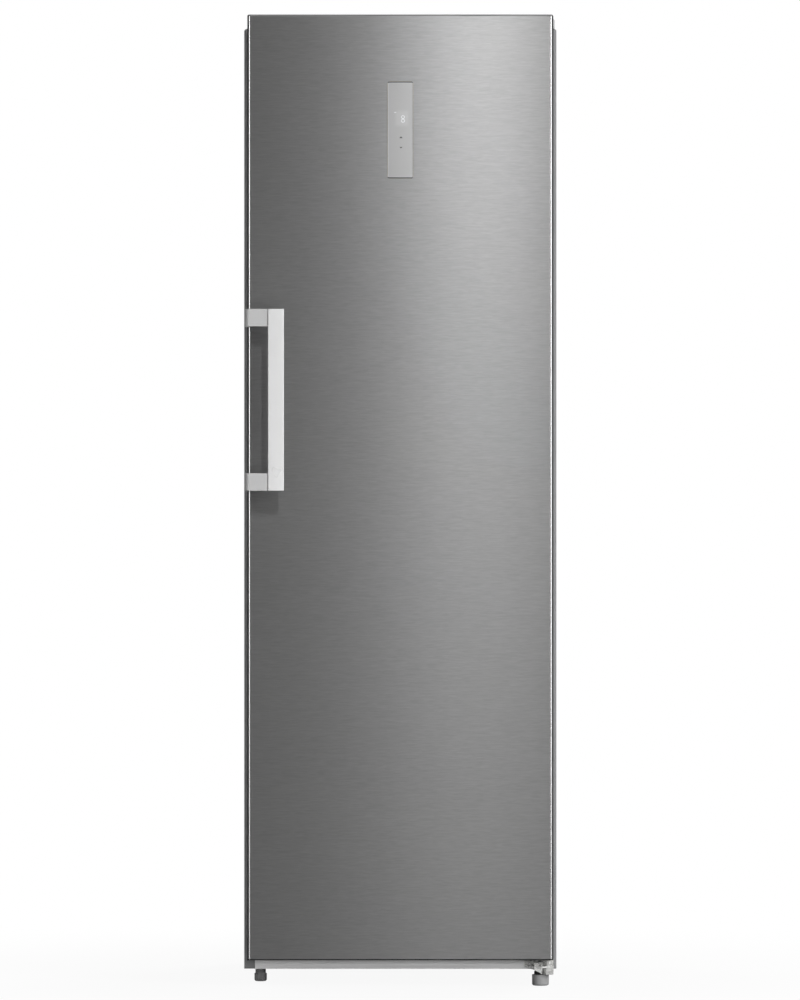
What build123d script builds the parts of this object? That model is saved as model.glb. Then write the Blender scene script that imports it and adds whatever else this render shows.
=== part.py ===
from build123d import *
import os

# A tall single-door refrigerator, in millimetres. The origin is on the floor below the middle of the whole
# object, with +Z up, -Y to the front and +X to the side of the hinges.

# Cabinet
cabinet_width = 595.0
cabinet_depth = 580.0
cabinet_bottom = 30.0
cabinet_top = 1821.0
cabinet_corner = 4.0
steel_sheet = 0.8
front_flange = 32.0
turned_edge = 14.0

# Door, placed from the cabinet's edges
door_reveal = 7.5
door_lift = 21.0
door_rise = 22.0
door_thickness = 58.0
door_corner = 5.5
seal_gap = 12.0
handle_reach = 48.0

# Walls round the food compartment, each from the outer face to the liner's inner face
side_wall = 52.0
back_wall = 79.0
floor_wall = 57.0
ceiling_wall = 57.0
liner_wall = 2.0

# Compressor space at the bottom of the back
machine_depth = 190.0
machine_height = 195.0
machine_lean = 12.0
machine_wall = 45.0
machine_roof_wall = 57.0
base_height = 20.0

# Door hinges, from the door's side and front
hinge_inset = 8.5
hinge_setback = 30.0
hinge_pin_radius = 5.0
bracket_steel = 3.0

# Shelves and drawers
shelf_count = 5
glass_thickness = 4.0
crisper_upper_room = 173.0
shelf_front_gap = 106.0
balcony_count = 5

# Clearances: round a turning pin, round a fixed piece, under or beside what slides, and at the door's seal
running_clearance = 0.05
fit_clearance = 0.3
slide_clearance = 1.0
seal_clearance = 0.2

# Places that follow from these sizes
half_width = cabinet_width / 2
rear_y = (cabinet_depth + seal_gap + door_thickness + handle_reach) / 2
front_y = rear_y - cabinet_depth
door_back_y = front_y - seal_gap
door_skin_back_y = door_back_y - liner_wall
door_front_y = door_back_y - door_thickness
door_half = half_width - door_reveal
door_bottom = cabinet_bottom + door_lift
door_top = cabinet_top + door_rise
hinge_x = door_half - hinge_inset
hinge_y = door_front_y + hinge_setback
inner_half = half_width - side_wall
inner_back_y = rear_y - back_wall
inner_floor = cabinet_bottom + floor_wall
inner_ceiling = cabinet_top - ceiling_wall
base_z = cabinet_bottom + base_height
machine_y = rear_y - machine_depth
machine_top = cabinet_bottom + machine_height
step_y = machine_y - machine_wall
step_top = machine_top + machine_roof_wall
shell_top = cabinet_top - steel_sheet


def across(half):
    """The range from -half to +half."""
    return (-half, half)


def about(middle, half):
    """The range of a given half width about a middle."""
    return (middle - half, middle + half)


def block(x, y, z):
    """A box that spans three ranges, each given by its two ends."""
    middle = [(low + high) / 2 for low, high in (x, y, z)]
    size = [high - low for low, high in (x, y, z)]
    return Pos(*middle) * Box(*size)


def rod(start, end, radius):
    """A round rod between two points."""
    line = Vector(*end) - Vector(*start)
    end_plane = Plane(origin=start, z_dir=line)
    return end_plane * Cylinder(radius, line.length, align=(Align.CENTER, Align.CENTER, Align.MIN))


def post(x, y, z, radius):
    """A round upright at one place in plan, between two heights."""
    return rod((x, y, z[0]), (x, y, z[1]), radius)


def upright(outline, z):
    """A plan outline (X, Y) raised between two heights."""
    return Pos(0, 0, z[0]) * extrude(outline, z[1] - z[0])


def side_view(outline, x):
    """A side outline (Y, Z) carried between two places along X."""
    return Pos(x[0], 0, 0) * extrude(Plane.YZ * outline, x[1] - x[0])


def front_view(outline, y):
    """A front outline (X, Z) carried between two places along Y."""
    return Pos(0, y[1], 0) * extrude(Plane.XZ * outline, y[1] - y[0])


def polygon(*points):
    """A flat face with straight edges through the points."""
    return make_face(Polyline(*points, close=True))


def ring(half, z, width, y):
    """A rectangular ring seen from the front, of one width all round."""
    outer = block(across(half), y, z)
    inner = block(across(half - width), y, (z[0] + width, z[1] - width))
    return outer - inner


def tube(path, radius):
    """A round wire or pipe along a path."""
    return sweep(Plane(origin=path @ 0, z_dir=path % 0) * Circle(radius), path=path)


def mirrored(piece):
    """The same piece for the other side of the cabinet."""
    return mirror(piece, about=Plane.YZ)


# The screws of both hinge brackets, and the brackets' main sizes that place them
screw_radius = 2.5
screw_length = 10.0
screw_head_radius = 4.6
screw_head_height = 3.5
screw_inset = 9.0
arm_half = 10.0
upper_bracket_width = 80.0
upper_bracket_setback = 5.0
upper_bracket_reach = 76.0
upper_bracket_top = cabinet_top + bracket_steel
upper_bracket_x = (hinge_x + arm_half - upper_bracket_width, hinge_x + arm_half)
upper_bracket_y = (front_y + upper_bracket_setback, front_y + upper_bracket_reach)
rail_offset = 5.0
rail_sheet = 1.2
rail_height = 19.0
rail_top = cabinet_bottom + rail_height
lower_bracket_left = 45.7
lower_bracket_y = front_y - rail_offset - bracket_steel
lower_plate_z = cabinet_bottom + 5.0
lower_plate_top = lower_plate_z + bracket_steel
lower_screw_height = lower_plate_top + screw_head_radius + 0.6
lower_screw_xs = (hinge_x - lower_bracket_left + 5.7, hinge_x + 3.0)


def upper_screw_places():
    left = upper_bracket_x[0] + screw_inset
    right = upper_bracket_x[1] - screw_inset
    front = upper_bracket_y[0] + screw_inset
    back = upper_bracket_y[1] - screw_inset
    return [(left, front), (left, back), (right, back)]


def screw_shanks(radius):
    """The hinge screws' shanks, or the holes for them."""
    shanks = Part()
    for x, y in upper_screw_places():
        shanks += post(x, y, (upper_bracket_top - screw_length, upper_bracket_top), radius)
    for x in lower_screw_xs:
        start = (x, lower_bracket_y, lower_screw_height)
        end = (x, lower_bracket_y + screw_length, lower_screw_height)
        shanks += rod(start, end, radius)
    return shanks


def screw_holes():
    return screw_shanks(screw_radius + fit_clearance)


def hinge_screws():
    """Hexagon-head screws that hold both hinge brackets on the cabinet."""
    head = RegularPolygon(screw_head_radius, 6)
    screws = screw_shanks(screw_radius)
    for x, y in upper_screw_places():
        screws += upright(Pos(x, y) * head, (upper_bracket_top, upper_bracket_top + screw_head_height))
    for x in lower_screw_xs:
        outline = Pos(x, lower_screw_height) * head
        screws += front_view(outline, (lower_bracket_y - screw_head_height, lower_bracket_y))
    return screws


# Cabinet shell
rib_width = 14.0
rib_count = 5
rib_end_gap = 130.0
panel_gap = 0.5


def folded_box(x, y, z, radius):
    """A box rounded along its outer upright edges and along its outer top edge."""
    box = block(x, y, z)
    side_edges = box.faces().sort_by(Axis.X)[-1].edges()
    return fillet(side_edges.filter_by(Axis.Z) + side_edges.sort_by(Axis.Z)[-1:], radius)


def side_panel():
    """The right side panel: a steel pan folded at the front, the back and the top, open below."""
    x = (half_width - front_flange, half_width)
    y = (front_y, rear_y)
    z = (cabinet_bottom, shell_top)
    inside_x = (x[0], x[1] - steel_sheet)
    inside_y = (y[0] + steel_sheet, y[1] - steel_sheet)
    inside_z = (z[0], z[1] - steel_sheet)
    pan = folded_box(x, y, z, cabinet_corner)
    pan -= folded_box(inside_x, inside_y, inside_z, cabinet_corner - steel_sheet)
    return pan - block((x[0], half_width - turned_edge), (inside_y[0], y[1]), z)


def top_panel():
    """The top sheet, turned down between the side panels at the front and the back."""
    top = block(across(half_width - cabinet_corner - panel_gap), (front_y, rear_y), (shell_top, cabinet_top))
    front = across(half_width - front_flange - fit_clearance)
    top += block(front, (front_y, front_y + steel_sheet), (cabinet_top - front_flange, shell_top))
    back = across(half_width - turned_edge - fit_clearance)
    top += block(back, (rear_y - steel_sheet, rear_y), (cabinet_top - turned_edge, shell_top))
    return top - screw_holes()


def back_panel():
    """The flat rear sheet with upright pressed ribs, held behind the side panels' turned edges."""
    y = (rear_y - 2 * steel_sheet, rear_y - steel_sheet)
    z = (machine_top, shell_top - steel_sheet)
    panel = block(across(half_width - cabinet_corner), y, z)
    pitch = 2 * (half_width - turned_edge) / (rib_count + 1)
    rib = Rot(0, 0, 90) * SlotOverall(z[1] - z[0] - 2 * rib_end_gap, rib_width)
    for number in range(rib_count):
        x = pitch * (number - (rib_count - 1) / 2)
        panel += front_view(Pos(x, sum(z) / 2) * rib, (y[1], rear_y))
    return panel


def below_base(grow, y):
    """The space under the base pan, with the compressor space at its back."""
    outline = polygon(
        (y[0], 0),
        (y[0], base_z + grow),
        (machine_y - grow, base_z + grow),
        (machine_y + machine_lean - grow, machine_top + grow),
        (y[1], machine_top + grow),
        (y[1], 0),
    )
    return side_view(outline, across(half_width - steel_sheet))


def base_pan():
    """The bent floor sheet that also roofs the compressor space."""
    y = (front_y + steel_sheet, rear_y - 2 * steel_sheet)
    pan = below_base(steel_sheet, y) - below_base(0, y)
    return pan & block(across(half_width - cabinet_corner), y, (0, cabinet_top))


# Moulded liner with the shelves' ledges, and the foam round it
liner_corner = 16.0
liner_edge = 12.0
ledge_width = 9.0
ledge_height = 7.0
ledge_setback = 120.0
duct_depth = 45.0
shelf_back_gap = 3.0
divider_z = step_top + liner_edge + slide_clearance
crisper_cover_z = divider_z + crisper_upper_room
shelf_pitch = (inner_ceiling - crisper_cover_z) / (shelf_count + 1)
shelf_heights = [crisper_cover_z + shelf_pitch * (number + 1) for number in range(shelf_count)]
duct_front_y = inner_back_y - duct_depth
shelf_front_y = front_y + shelf_front_gap
shelf_back_y = duct_front_y - shelf_back_gap


def cavity(grow):
    """The food compartment's inner space, or that space grown by the liner's wall."""
    floor = inner_floor - grow
    ceiling = inner_ceiling + grow
    back = inner_back_y + grow
    outline = polygon(
        (front_y, floor),
        (step_y + grow, floor),
        (step_y + machine_lean + grow, step_top - grow),
        (back, step_top - grow),
        (back, ceiling),
        (front_y, ceiling),
    )
    inner_corners = outline.vertices().filter_by(lambda corner: corner.X > front_y + liner_wall)
    outline = fillet(inner_corners, liner_corner + grow)
    space = side_view(outline, across(inner_half + grow))
    sides = space.faces().filter_by(Axis.X).edges()
    return fillet(sides.filter_by(lambda edge: edge.center().Y > front_y + liner_wall), liner_edge + grow)


def liner():
    """The moulded white tub: its walls, the flange behind the front frame, and ledges for the shelves."""
    outer = cavity(liner_wall)
    flange_y = (front_y + steel_sheet, front_y + steel_sheet + liner_wall)
    ends = (base_z + steel_sheet, shell_top - steel_sheet - cabinet_corner)
    outer += block(across(half_width - steel_sheet - cabinet_corner), flange_y, ends)
    outer -= block(across(half_width), (front_y, flange_y[0]), (0, cabinet_top))
    tub = outer - cavity(0)
    rim = (inner_half - ledge_width, inner_half + liner_wall / 4)
    for height in [divider_z, crisper_cover_z] + shelf_heights:
        ledge = block(rim, (front_y + ledge_setback, duct_front_y), (height - ledge_height, height))
        tub += ledge + mirrored(ledge)
    return tub


def insulation():
    """The foam between the liner and the cabinet's sheets."""
    y = (front_y + steel_sheet + liner_wall, rear_y - 2 * steel_sheet)
    foam = block(across(half_width - steel_sheet), y, (base_z, shell_top - steel_sheet))
    long_edges = foam.edges().filter_by(Axis.Z) + foam.edges().filter_by(Axis.Y).group_by(Axis.Z)[-1]
    foam = chamfer(long_edges, cabinet_corner)
    foam -= below_base(steel_sheet, (front_y, rear_y))
    foam -= cavity(liner_wall)
    return foam - screw_holes()


# Underframe: the rail below the door, two runners, the feet and the rear rollers
rail_strip_height = 52.0
rail_inset = 20.5
runner_inset = 29.5
runner_width = 44.0
runner_sheet = 1.5
runner_front_gap = 3.0
ear_half = 15.0
ear_reach = 9.0
ear_corner = 8.0
foot_boss_radius = 12.0
roller_radius = 18.0
roller_width = 20.0
roller_edge = 1.5
roller_setback = 49.0
axle_radius = 4.0
axle_head = 1.5
foot_stud_radius = 5.0
foot_edge = 4.0
foot_left_setback = 85.0
foot_left_radius = 11.9
foot_left_height = 15.3
foot_left_neck = 10.0
foot_right_radius = 16.0
foot_right_height = 21.0
foot_right_neck = 11.0
foot_right_neck_gap = 4.0
foot_right_gap = 17.0
foot_right_spread = 21.2
foot_stud_top = cabinet_bottom + 16.0
runner_x = half_width - runner_inset
foot_left_x = -runner_x
foot_left_y = front_y + foot_left_setback
foot_right_y = lower_bracket_y - foot_right_gap
foot_right_aside = max(foot_right_spread**2 - (foot_right_y - hinge_y) ** 2, 0) ** 0.5
foot_right_x = hinge_x - foot_right_aside
roller_y = rear_y - roller_setback


def front_rail():
    """The steel rail under the door, with the strip above it that closes the front frame."""
    y = (front_y - rail_offset, front_y)
    rail_x = across(half_width - rail_inset)
    rail = block(rail_x, y, (cabinet_bottom, rail_top))
    rail -= block(rail_x, (y[0] + rail_sheet, y[1]), (cabinet_bottom + rail_sheet, rail_top - rail_sheet))
    strip_x = across(half_width - front_flange - fit_clearance)
    strip_z = (rail_top - rail_sheet, cabinet_bottom + rail_strip_height)
    rail += block(strip_x, (front_y, front_y + steel_sheet), strip_z)
    return rail - screw_holes()


def along_axle(x, radius):
    """A round piece on the right roller's axis, between two places along X."""
    return rod((x[0], roller_y, roller_radius), (x[1], roller_y, roller_radius), radius)


def base_runner():
    """The right runner: a channel under the floor with ears for the rear roller and a boss for a foot."""
    x = about(runner_x, runner_width / 2)
    inside = about(runner_x, runner_width / 2 - runner_sheet)
    y = (front_y + runner_front_gap, rear_y - turned_edge)
    ears = block(x, about(roller_y, ear_half), (roller_radius - ear_reach, base_z))
    ears = chamfer(ears.edges().filter_by(Axis.X).group_by(Axis.Z)[0], ear_corner)
    runner = block(x, y, (cabinet_bottom + slide_clearance, base_z)) + ears
    runner -= block(inside, y, (0, base_z - runner_sheet))
    runner += post(runner_x, foot_left_y, (cabinet_bottom, base_z - runner_sheet), foot_boss_radius)
    runner -= post(runner_x, foot_left_y, (0, base_z), foot_stud_radius + running_clearance)
    return runner - along_axle((0, half_width), axle_radius + fit_clearance)


def roller_axle():
    """The right roller's axle, headed at both ends."""
    inner = about(runner_x, runner_width / 2)
    outer = about(runner_x, runner_width / 2 + axle_head)
    axle = along_axle(outer, axle_radius)
    axle += along_axle((outer[0], inner[0]), axle_radius + axle_head)
    return axle + along_axle((inner[1], outer[1]), axle_radius + axle_head)


def roller():
    """The right rear roller, a plain moulded wheel between the runner's ears."""
    x = about(runner_x, roller_width / 2)
    wheel = chamfer(along_axle(x, roller_radius).edges(), roller_edge)
    return wheel - along_axle(x, axle_radius + running_clearance)


def screw_foot(x, y, pad, neck):
    """A moulded levelling foot and its stud; the pad and the neck are each a radius and a top height."""
    foot = post(x, y, (0, pad[1]), pad[0])
    foot = fillet(foot.edges().group_by(Axis.Z)[0], foot_edge)
    foot += post(x, y, (pad[1], neck[1]), neck[0])
    return foot + post(x, y, (neck[1], foot_stud_top), foot_stud_radius)


def foot_left():
    neck = (foot_left_neck, cabinet_bottom - fit_clearance)
    return screw_foot(foot_left_x, foot_left_y, (foot_left_radius, foot_left_height), neck)


def foot_right():
    neck = (foot_right_neck, lower_plate_z - foot_right_neck_gap)
    return screw_foot(foot_right_x, foot_right_y, (foot_right_radius, foot_right_height), neck)


# Compressor space
tray_sheet = 1.5
tray_lift = 6.0
tray_side_gap = 1.5
tray_front_gap = 5.0
tray_back_gap = 12.0
tray_edge = 22.0
compressor_x = 60.0
compressor_front_gap = 8.0
compressor_back_gap = 5.0
compressor_length = 200.0
compressor_height = 130.0
compressor_crown = 28.0
seam_flange = 4.0
seam_sheet = 5.0
seam_height = 58.0
mount_reach = 95.0
mount_margin = 16.0
mount_height = 14.0
mount_radius = 13.0
mount_neck = 8.0
mount_cap_radius = 11.0
mount_cap_height = 4.0
foot_plate = 3.0
foot_plate_corner = 12.0
tray_floor = cabinet_bottom + tray_lift
tray_half = runner_x - runner_width / 2 - tray_side_gap
tray_y = (machine_y + machine_lean + tray_front_gap, rear_y - tray_back_gap)
compressor_y = (tray_y[0] + compressor_front_gap + tray_y[1] - compressor_back_gap) / 2
compressor_width = 2 * (tray_y[1] - compressor_back_gap - compressor_y)
mount_spots = (mount_reach, compressor_width / 2 - mount_margin)
foot_plate_z = tray_floor + tray_sheet + mount_height
compressor_z = foot_plate_z + foot_plate
compressor_top = compressor_z + compressor_height
relay_x = (-22.0, 24.0)
relay_half = 32.0
relay_z = (20.0, 92.0)
relay_edge = 5.0
pan_length = 190.0
pan_margin = 9.0
pan_height = 20.0
pan_corner = 14.0
pan_wall = 2.0
pipe_radius = 4.0
thin_pipe_radius = 3.0
pipe_bend = 16.0
stub_reach = 14.0
stub_wall = 1.5
stub_height = 78.0
suction_offset = 22.0
suction_run = 40.0
discharge_offset = -18.0
discharge_run = 70.0
drier_offset = 215.0
drier_radius = 10.0
drier_length = 80.0
drier_drop = 50.0
drier_neck = 12.0
drier_shoulder = 6.0
capillary_radius = 1.5
capillary_run = 30.0
capillary_drop = 20.0
capillary_bend = 10.0
gland_x = -200.0
gland_radius = 7.0
gland_wall = 3.2
gland_flange = 2.5
gland_inside = 8.0
gland_outside = 6.5
pan_size = (pan_length, compressor_width - 2 * pan_margin)
stub_x = compressor_x - compressor_length / 2 - stub_reach
stub_z = compressor_z + stub_height
suction_y = compressor_y + suction_offset
discharge_y = compressor_y + discharge_offset
drier_x = compressor_x - drier_offset
drier_z = (machine_top - drier_drop - drier_length, machine_top - drier_drop)


def along_gland(y, radius):
    """A round piece on the cord gland's axis, between two places from the rear edge's inner face."""
    inner_face = tray_y[1] - tray_sheet
    height = tray_floor + (tray_sheet + tray_edge) / 2
    return rod((gland_x, inner_face + y[0], height), (gland_x, inner_face + y[1], height), radius)


def compressor_tray():
    """The sunk steel tray that hangs between the runners and carries the compressor."""
    inside = across(tray_half - tray_sheet)
    tray = block(across(tray_half), tray_y, (tray_floor, base_z + tray_sheet))
    tray += block(across(runner_x + runner_width / 2), tray_y, (base_z, base_z + tray_sheet))
    tray -= block(inside, tray_y, (tray_floor + tray_sheet, base_z + tray_sheet))
    for edge_y in (tray_y[0], tray_y[1] - tray_sheet):
        tray += block(inside, (edge_y, edge_y + tray_sheet), (tray_floor, tray_floor + tray_edge))
    return tray - along_gland((-gland_inside, gland_outside), gland_radius)


def cord_gland():
    """The rubber gland in the tray's rear edge that the mains cord would pass through."""
    barrel = (-gland_inside, gland_outside)
    gland = along_gland(barrel, gland_radius)
    gland += along_gland((-gland_flange, 0), gland_radius + gland_flange)
    gland += along_gland((tray_sheet, tray_sheet + gland_flange), gland_radius + gland_flange)
    return gland - along_gland(barrel, gland_radius - gland_wall)


def mount_places():
    across_x = about(compressor_x, mount_spots[0])
    across_y = about(compressor_y, mount_spots[1])
    return [(x, y) for x in across_x for y in across_y]


def compressor_mounts():
    """Four rubber spools that carry the compressor's foot plate."""
    mounts = Part()
    for x, y in mount_places():
        mounts += post(x, y, (tray_floor + tray_sheet, foot_plate_z), mount_radius)
        mounts += post(x, y, (foot_plate_z, compressor_z), mount_neck)
        mounts += post(x, y, (compressor_z, compressor_z + mount_cap_height), mount_cap_radius)
    return mounts


def compressor_shell():
    """The welded oval can of the compressor, with its seam flange."""
    place = Pos(compressor_x, compressor_y)
    can = upright(place * SlotOverall(compressor_length, compressor_width), (compressor_z, compressor_top))
    can = chamfer(can.edges().group_by(Axis.Z)[0], compressor_crown / 2)
    can = fillet(can.edges().group_by(Axis.Z)[-1], compressor_crown)
    seam = SlotOverall(compressor_length + 2 * seam_flange, compressor_width + 2 * seam_flange)
    seam_z = compressor_z + seam_height
    return can + upright(place * seam, (seam_z, seam_z + seam_sheet))


def compressor():
    """The compressor with its foot plate and pipe stubs."""
    plate_size = [2 * (spot + mount_radius) for spot in mount_spots]
    plate = RectangleRounded(*plate_size, foot_plate_corner)
    body = upright(Pos(compressor_x, compressor_y) * plate, (foot_plate_z, compressor_z))
    for x, y in mount_places():
        body -= post(x, y, (foot_plate_z, compressor_z), mount_neck)
    body += compressor_shell()
    for y in (suction_y, discharge_y):
        body += rod((stub_x, y, stub_z), (compressor_x, y, stub_z), pipe_radius + stub_wall)
    return body


def relay_cover():
    """The plastic cover over the start relay, on the compressor's end."""
    end = compressor_x + compressor_length / 2
    x = (end + relay_x[0], end + relay_x[1])
    z = (compressor_z + relay_z[0], compressor_z + relay_z[1])
    cover = block(x, about(compressor_y, relay_half), z)
    cover = chamfer(cover.faces().sort_by(Axis.X)[-1].edges(), relay_edge)
    return cover - compressor_shell()


def evaporation_pan():
    """The shallow tray on top of the compressor that dries the defrost water."""
    place = Pos(compressor_x, compressor_y)
    outer = place * RectangleRounded(*pan_size, pan_corner)
    inner = place * RectangleRounded(*[size - 2 * pan_wall for size in pan_size], pan_corner - pan_wall)
    pan = upright(outer, (compressor_top, compressor_top + pan_height))
    return pan - upright(inner, (compressor_top + pan_wall, compressor_top + pan_height))


def rising_pipe(y, run, radius):
    """A pipe from a stub of the compressor, bent up into the roof of the space."""
    corner = (stub_x - run, y, stub_z)
    route = FilletPolyline((stub_x, y, stub_z), corner, (stub_x - run, y, machine_top), radius=pipe_bend)
    return tube(route, radius)


def refrigerant_pipes():
    """Copper pipes from the compressor and the drier into the roof of the space."""
    pipes = rising_pipe(suction_y, suction_run, pipe_radius)
    pipes += rising_pipe(discharge_y, discharge_run, thin_pipe_radius)
    inlet_foot = (drier_x, discharge_y, drier_z[1] + drier_neck)
    pipes += rod(inlet_foot, (drier_x, discharge_y, machine_top), thin_pipe_radius)
    outlet = drier_z[0] - drier_neck
    capillary = FilletPolyline(
        (drier_x, discharge_y, outlet),
        (drier_x, discharge_y, outlet - capillary_drop),
        (drier_x - capillary_run, discharge_y, outlet - capillary_drop),
        (drier_x - capillary_run, discharge_y, machine_top),
        radius=capillary_bend,
    )
    return pipes + tube(capillary, capillary_radius)


def filter_drier():
    """The copper filter drier, a can drawn in at both ends."""
    low, high = drier_z
    outline = polygon(
        (0, low - drier_neck),
        (pipe_radius, low - drier_neck),
        (pipe_radius, low - drier_shoulder),
        (drier_radius, low + drier_shoulder),
        (drier_radius, high - drier_shoulder),
        (pipe_radius, high + drier_shoulder),
        (pipe_radius, high + drier_neck),
        (0, high + drier_neck),
    )
    return Pos(drier_x, discharge_y, 0) * revolve(Plane.XZ * outline, Axis.Z)


# Hinges
collar_radius = 6.5
pin_nut_radius = 9.5
pin_nut_gap = 1.0
pin_head_height = 2.0
pin_head_rim = 2.0
lower_pin_rise = 13.0
upper_pin_reach = 14.0
bush_radius = 7.0
bush_flange = 8.5
bush_flange_height = 2.8
bush_length = 15.0
lock_nut_radius = 8.6
lock_nut_height = 6.5
stop_reach = 14.0
stop_left = 27.5
stop_width = 9.7
stop_rise = 6.6
stop_drop = 3.5
web_left = 14.6
web_width = 2.6
web_depth = 10.0
web_rise = 3.8
web_drop = 11.4
wing_setback = 2.0
bracket_corner = 6.0
arm_overlap = 20.0
brace_width = 26.0
brace_depth = 16.0
cover_inset = 3.2
cover_width = 100.0
cover_height = 19.0
cover_overhang = 5.0
cover_back_gap = 10.0
cover_edge = 4.0
cover_wall = 1.6
cap_depth = 18.0
cap_flange = 2.0
door_body_top = cabinet_top - 3.0
cap_top = door_body_top + cap_flange
stop_y = hinge_y - stop_reach
stop_x = hinge_x - stop_left
web_x = hinge_x - web_left


def lower_plate_outline():
    """The lower bracket's plan: straight along the rail, slanted on the left, round about the pin."""
    left = hinge_x - lower_bracket_left
    right = hinge_x + arm_half
    plate = polygon(
        (left, lower_bracket_y + bracket_steel),
        (left, lower_bracket_y - wing_setback),
        (stop_x, stop_y),
        (web_x + web_width, stop_y),
        (hinge_x, hinge_y - arm_half),
        (hinge_x, hinge_y),
        (right, hinge_y),
        (right, lower_bracket_y + bracket_steel),
    )
    return plate + Pos(hinge_x, hinge_y) * Circle(arm_half)


def lower_bracket_front():
    """The bracket's front edge, turned down on a slant, with the door stop's tab and a web turned up."""
    web_right = web_x + web_width
    outline = polygon(
        (stop_x, lower_plate_z - stop_drop),
        (stop_x, lower_plate_top + stop_rise),
        (stop_x + stop_width, lower_plate_top + stop_rise),
        (stop_x + stop_width, lower_plate_top),
        (web_x, lower_plate_top),
        (web_x, lower_plate_top + web_rise),
        (web_right, lower_plate_top + web_rise),
        (web_right, lower_plate_z - web_drop),
    )
    web = block((web_x, web_right), (stop_y, stop_y + web_depth), (lower_plate_z - web_drop, lower_plate_z))
    return front_view(outline, (stop_y, stop_y + bracket_steel)) + web


def lower_bracket_wing():
    """The slanted wing on the bracket's left, tapering up towards the rail."""
    left = hinge_x - lower_bracket_left
    slope = polygon(
        (left, lower_plate_z),
        (stop_x + bracket_steel, lower_plate_z),
        (stop_x + bracket_steel, lower_plate_z - stop_drop),
        (stop_x, lower_plate_z - stop_drop),
    )
    wing = polygon(
        (left, lower_bracket_y - wing_setback),
        (left + bracket_steel, lower_bracket_y - wing_setback),
        (stop_x + bracket_steel, stop_y),
        (stop_x, stop_y),
    )
    return upright(wing, (0, lower_plate_z)) & front_view(slope, (stop_y, lower_bracket_y))


def bottom_hinge_bracket():
    """The folded steel bracket under the door that carries the pin and the right foot."""
    x = (hinge_x - lower_bracket_left, hinge_x + arm_half)
    bracket = upright(lower_plate_outline(), (lower_plate_z, lower_plate_top))
    bracket += block(x, (lower_bracket_y, lower_bracket_y + bracket_steel), (lower_plate_z, rail_top))
    bracket += lower_bracket_front() + lower_bracket_wing()
    bracket -= screw_holes()
    bracket -= post(hinge_x, hinge_y, (0, door_bottom), hinge_pin_radius + running_clearance)
    return bracket - post(foot_right_x, foot_right_y, (0, door_bottom), foot_stud_radius + running_clearance)


def bottom_hinge_pin():
    """The turned pin with its nut below the bracket and its collar under the door."""
    nut = Pos(hinge_x, hinge_y) * RegularPolygon(pin_nut_radius, 6)
    pin = upright(nut, (foot_right_height + pin_nut_gap, lower_plate_z))
    pin += post(hinge_x, hinge_y, (lower_plate_z, door_bottom + lower_pin_rise), hinge_pin_radius)
    collar_top = door_bottom - bush_flange_height - seal_clearance
    return pin + post(hinge_x, hinge_y, (lower_plate_top, collar_top), collar_radius)


def foot_lock_nut():
    """The nut that locks the right foot's stud above the bracket."""
    outline = Pos(foot_right_x, foot_right_y) * RegularPolygon(lock_nut_radius, 6)
    nut = upright(outline, (lower_plate_top, lower_plate_top + lock_nut_height))
    return nut - post(foot_right_x, foot_right_y, (0, door_bottom), foot_stud_radius + running_clearance)


def top_hinge_bracket():
    """The flat steel bracket on the cabinet's top, its arm over the door."""
    arm = about(hinge_x, arm_half)
    front = upper_bracket_y[0]
    z = (cabinet_top, upper_bracket_top)
    plate = block(upper_bracket_x, upper_bracket_y, z)
    plate = fillet(plate.edges().filter_by(Axis.Z), bracket_corner)
    plate += block(arm, (hinge_y, front + arm_overlap), z)
    plate += post(hinge_x, hinge_y, z, arm_half)
    brace = polygon((arm[0] - brace_width, front), (arm[0], front), (arm[0], front - brace_depth))
    plate += upright(brace, z)
    plate -= screw_holes()
    return plate - post(hinge_x, hinge_y, z, hinge_pin_radius)


def top_hinge_pin():
    """The headed pin riveted into the top bracket's arm, reaching down into the door."""
    head = (upper_bracket_top, upper_bracket_top + pin_head_height)
    pin = post(hinge_x, hinge_y, (door_body_top - upper_pin_reach, upper_bracket_top), hinge_pin_radius)
    return pin + post(hinge_x, hinge_y, head, hinge_pin_radius + pin_head_rim)


def hinge_bushes():
    """The flanged nylon bushes in the door's two caps."""
    bushes = post(hinge_x, hinge_y, (door_bottom - bush_flange_height, door_bottom), bush_flange)
    bushes += post(hinge_x, hinge_y, (door_bottom, door_bottom + bush_length), bush_radius)
    bushes += post(hinge_x, hinge_y, (cap_top - cap_depth, cap_top), bush_radius)
    return bushes - post(hinge_x, hinge_y, (0, door_top), hinge_pin_radius + running_clearance)


def hinge_cover():
    """The plastic cover over the top bracket and its screws, open below and where the arm comes out."""
    x = (half_width - cover_inset - cover_width, half_width - cover_inset)
    y = (front_y - cover_overhang, upper_bracket_y[1] + cover_back_gap)
    z = (cabinet_top, cabinet_top + cover_height)
    cover = block(x, y, z)
    cover = fillet(cover.edges().filter_by(Axis.Z) + cover.faces().sort_by(Axis.Z)[-1].edges(), cover_edge)
    inside_x = (x[0] + cover_wall, x[1] - cover_wall)
    cover -= block(inside_x, (y[0] + cover_wall, y[1] - cover_wall), (z[0], z[1] - cover_wall))
    mouth = (hinge_x - arm_half - brace_width - slide_clearance, hinge_x + arm_half + fit_clearance)
    return cover - block(mouth, (y[0], y[0] + cover_wall), (z[0], upper_bracket_top + fit_clearance))


# Glass shelves and their trims
shelf_side_gap = 1.5
shelf_corner = 5.0
trim_lip = 2.5
trim_wall = 2.0
trim_depth = 14.0
stop_depth = 8.0
stop_height = 12.0
trim_half = inner_half - ledge_width - slide_clearance


def shelf_glass(height):
    """A toughened glass shelf lying on the liner's ledges."""
    z = (height, height + glass_thickness)
    plate = block(across(inner_half - shelf_side_gap), (shelf_front_y, shelf_back_y), z)
    return chamfer(plate.edges().filter_by(Axis.Z), shelf_corner)


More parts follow.
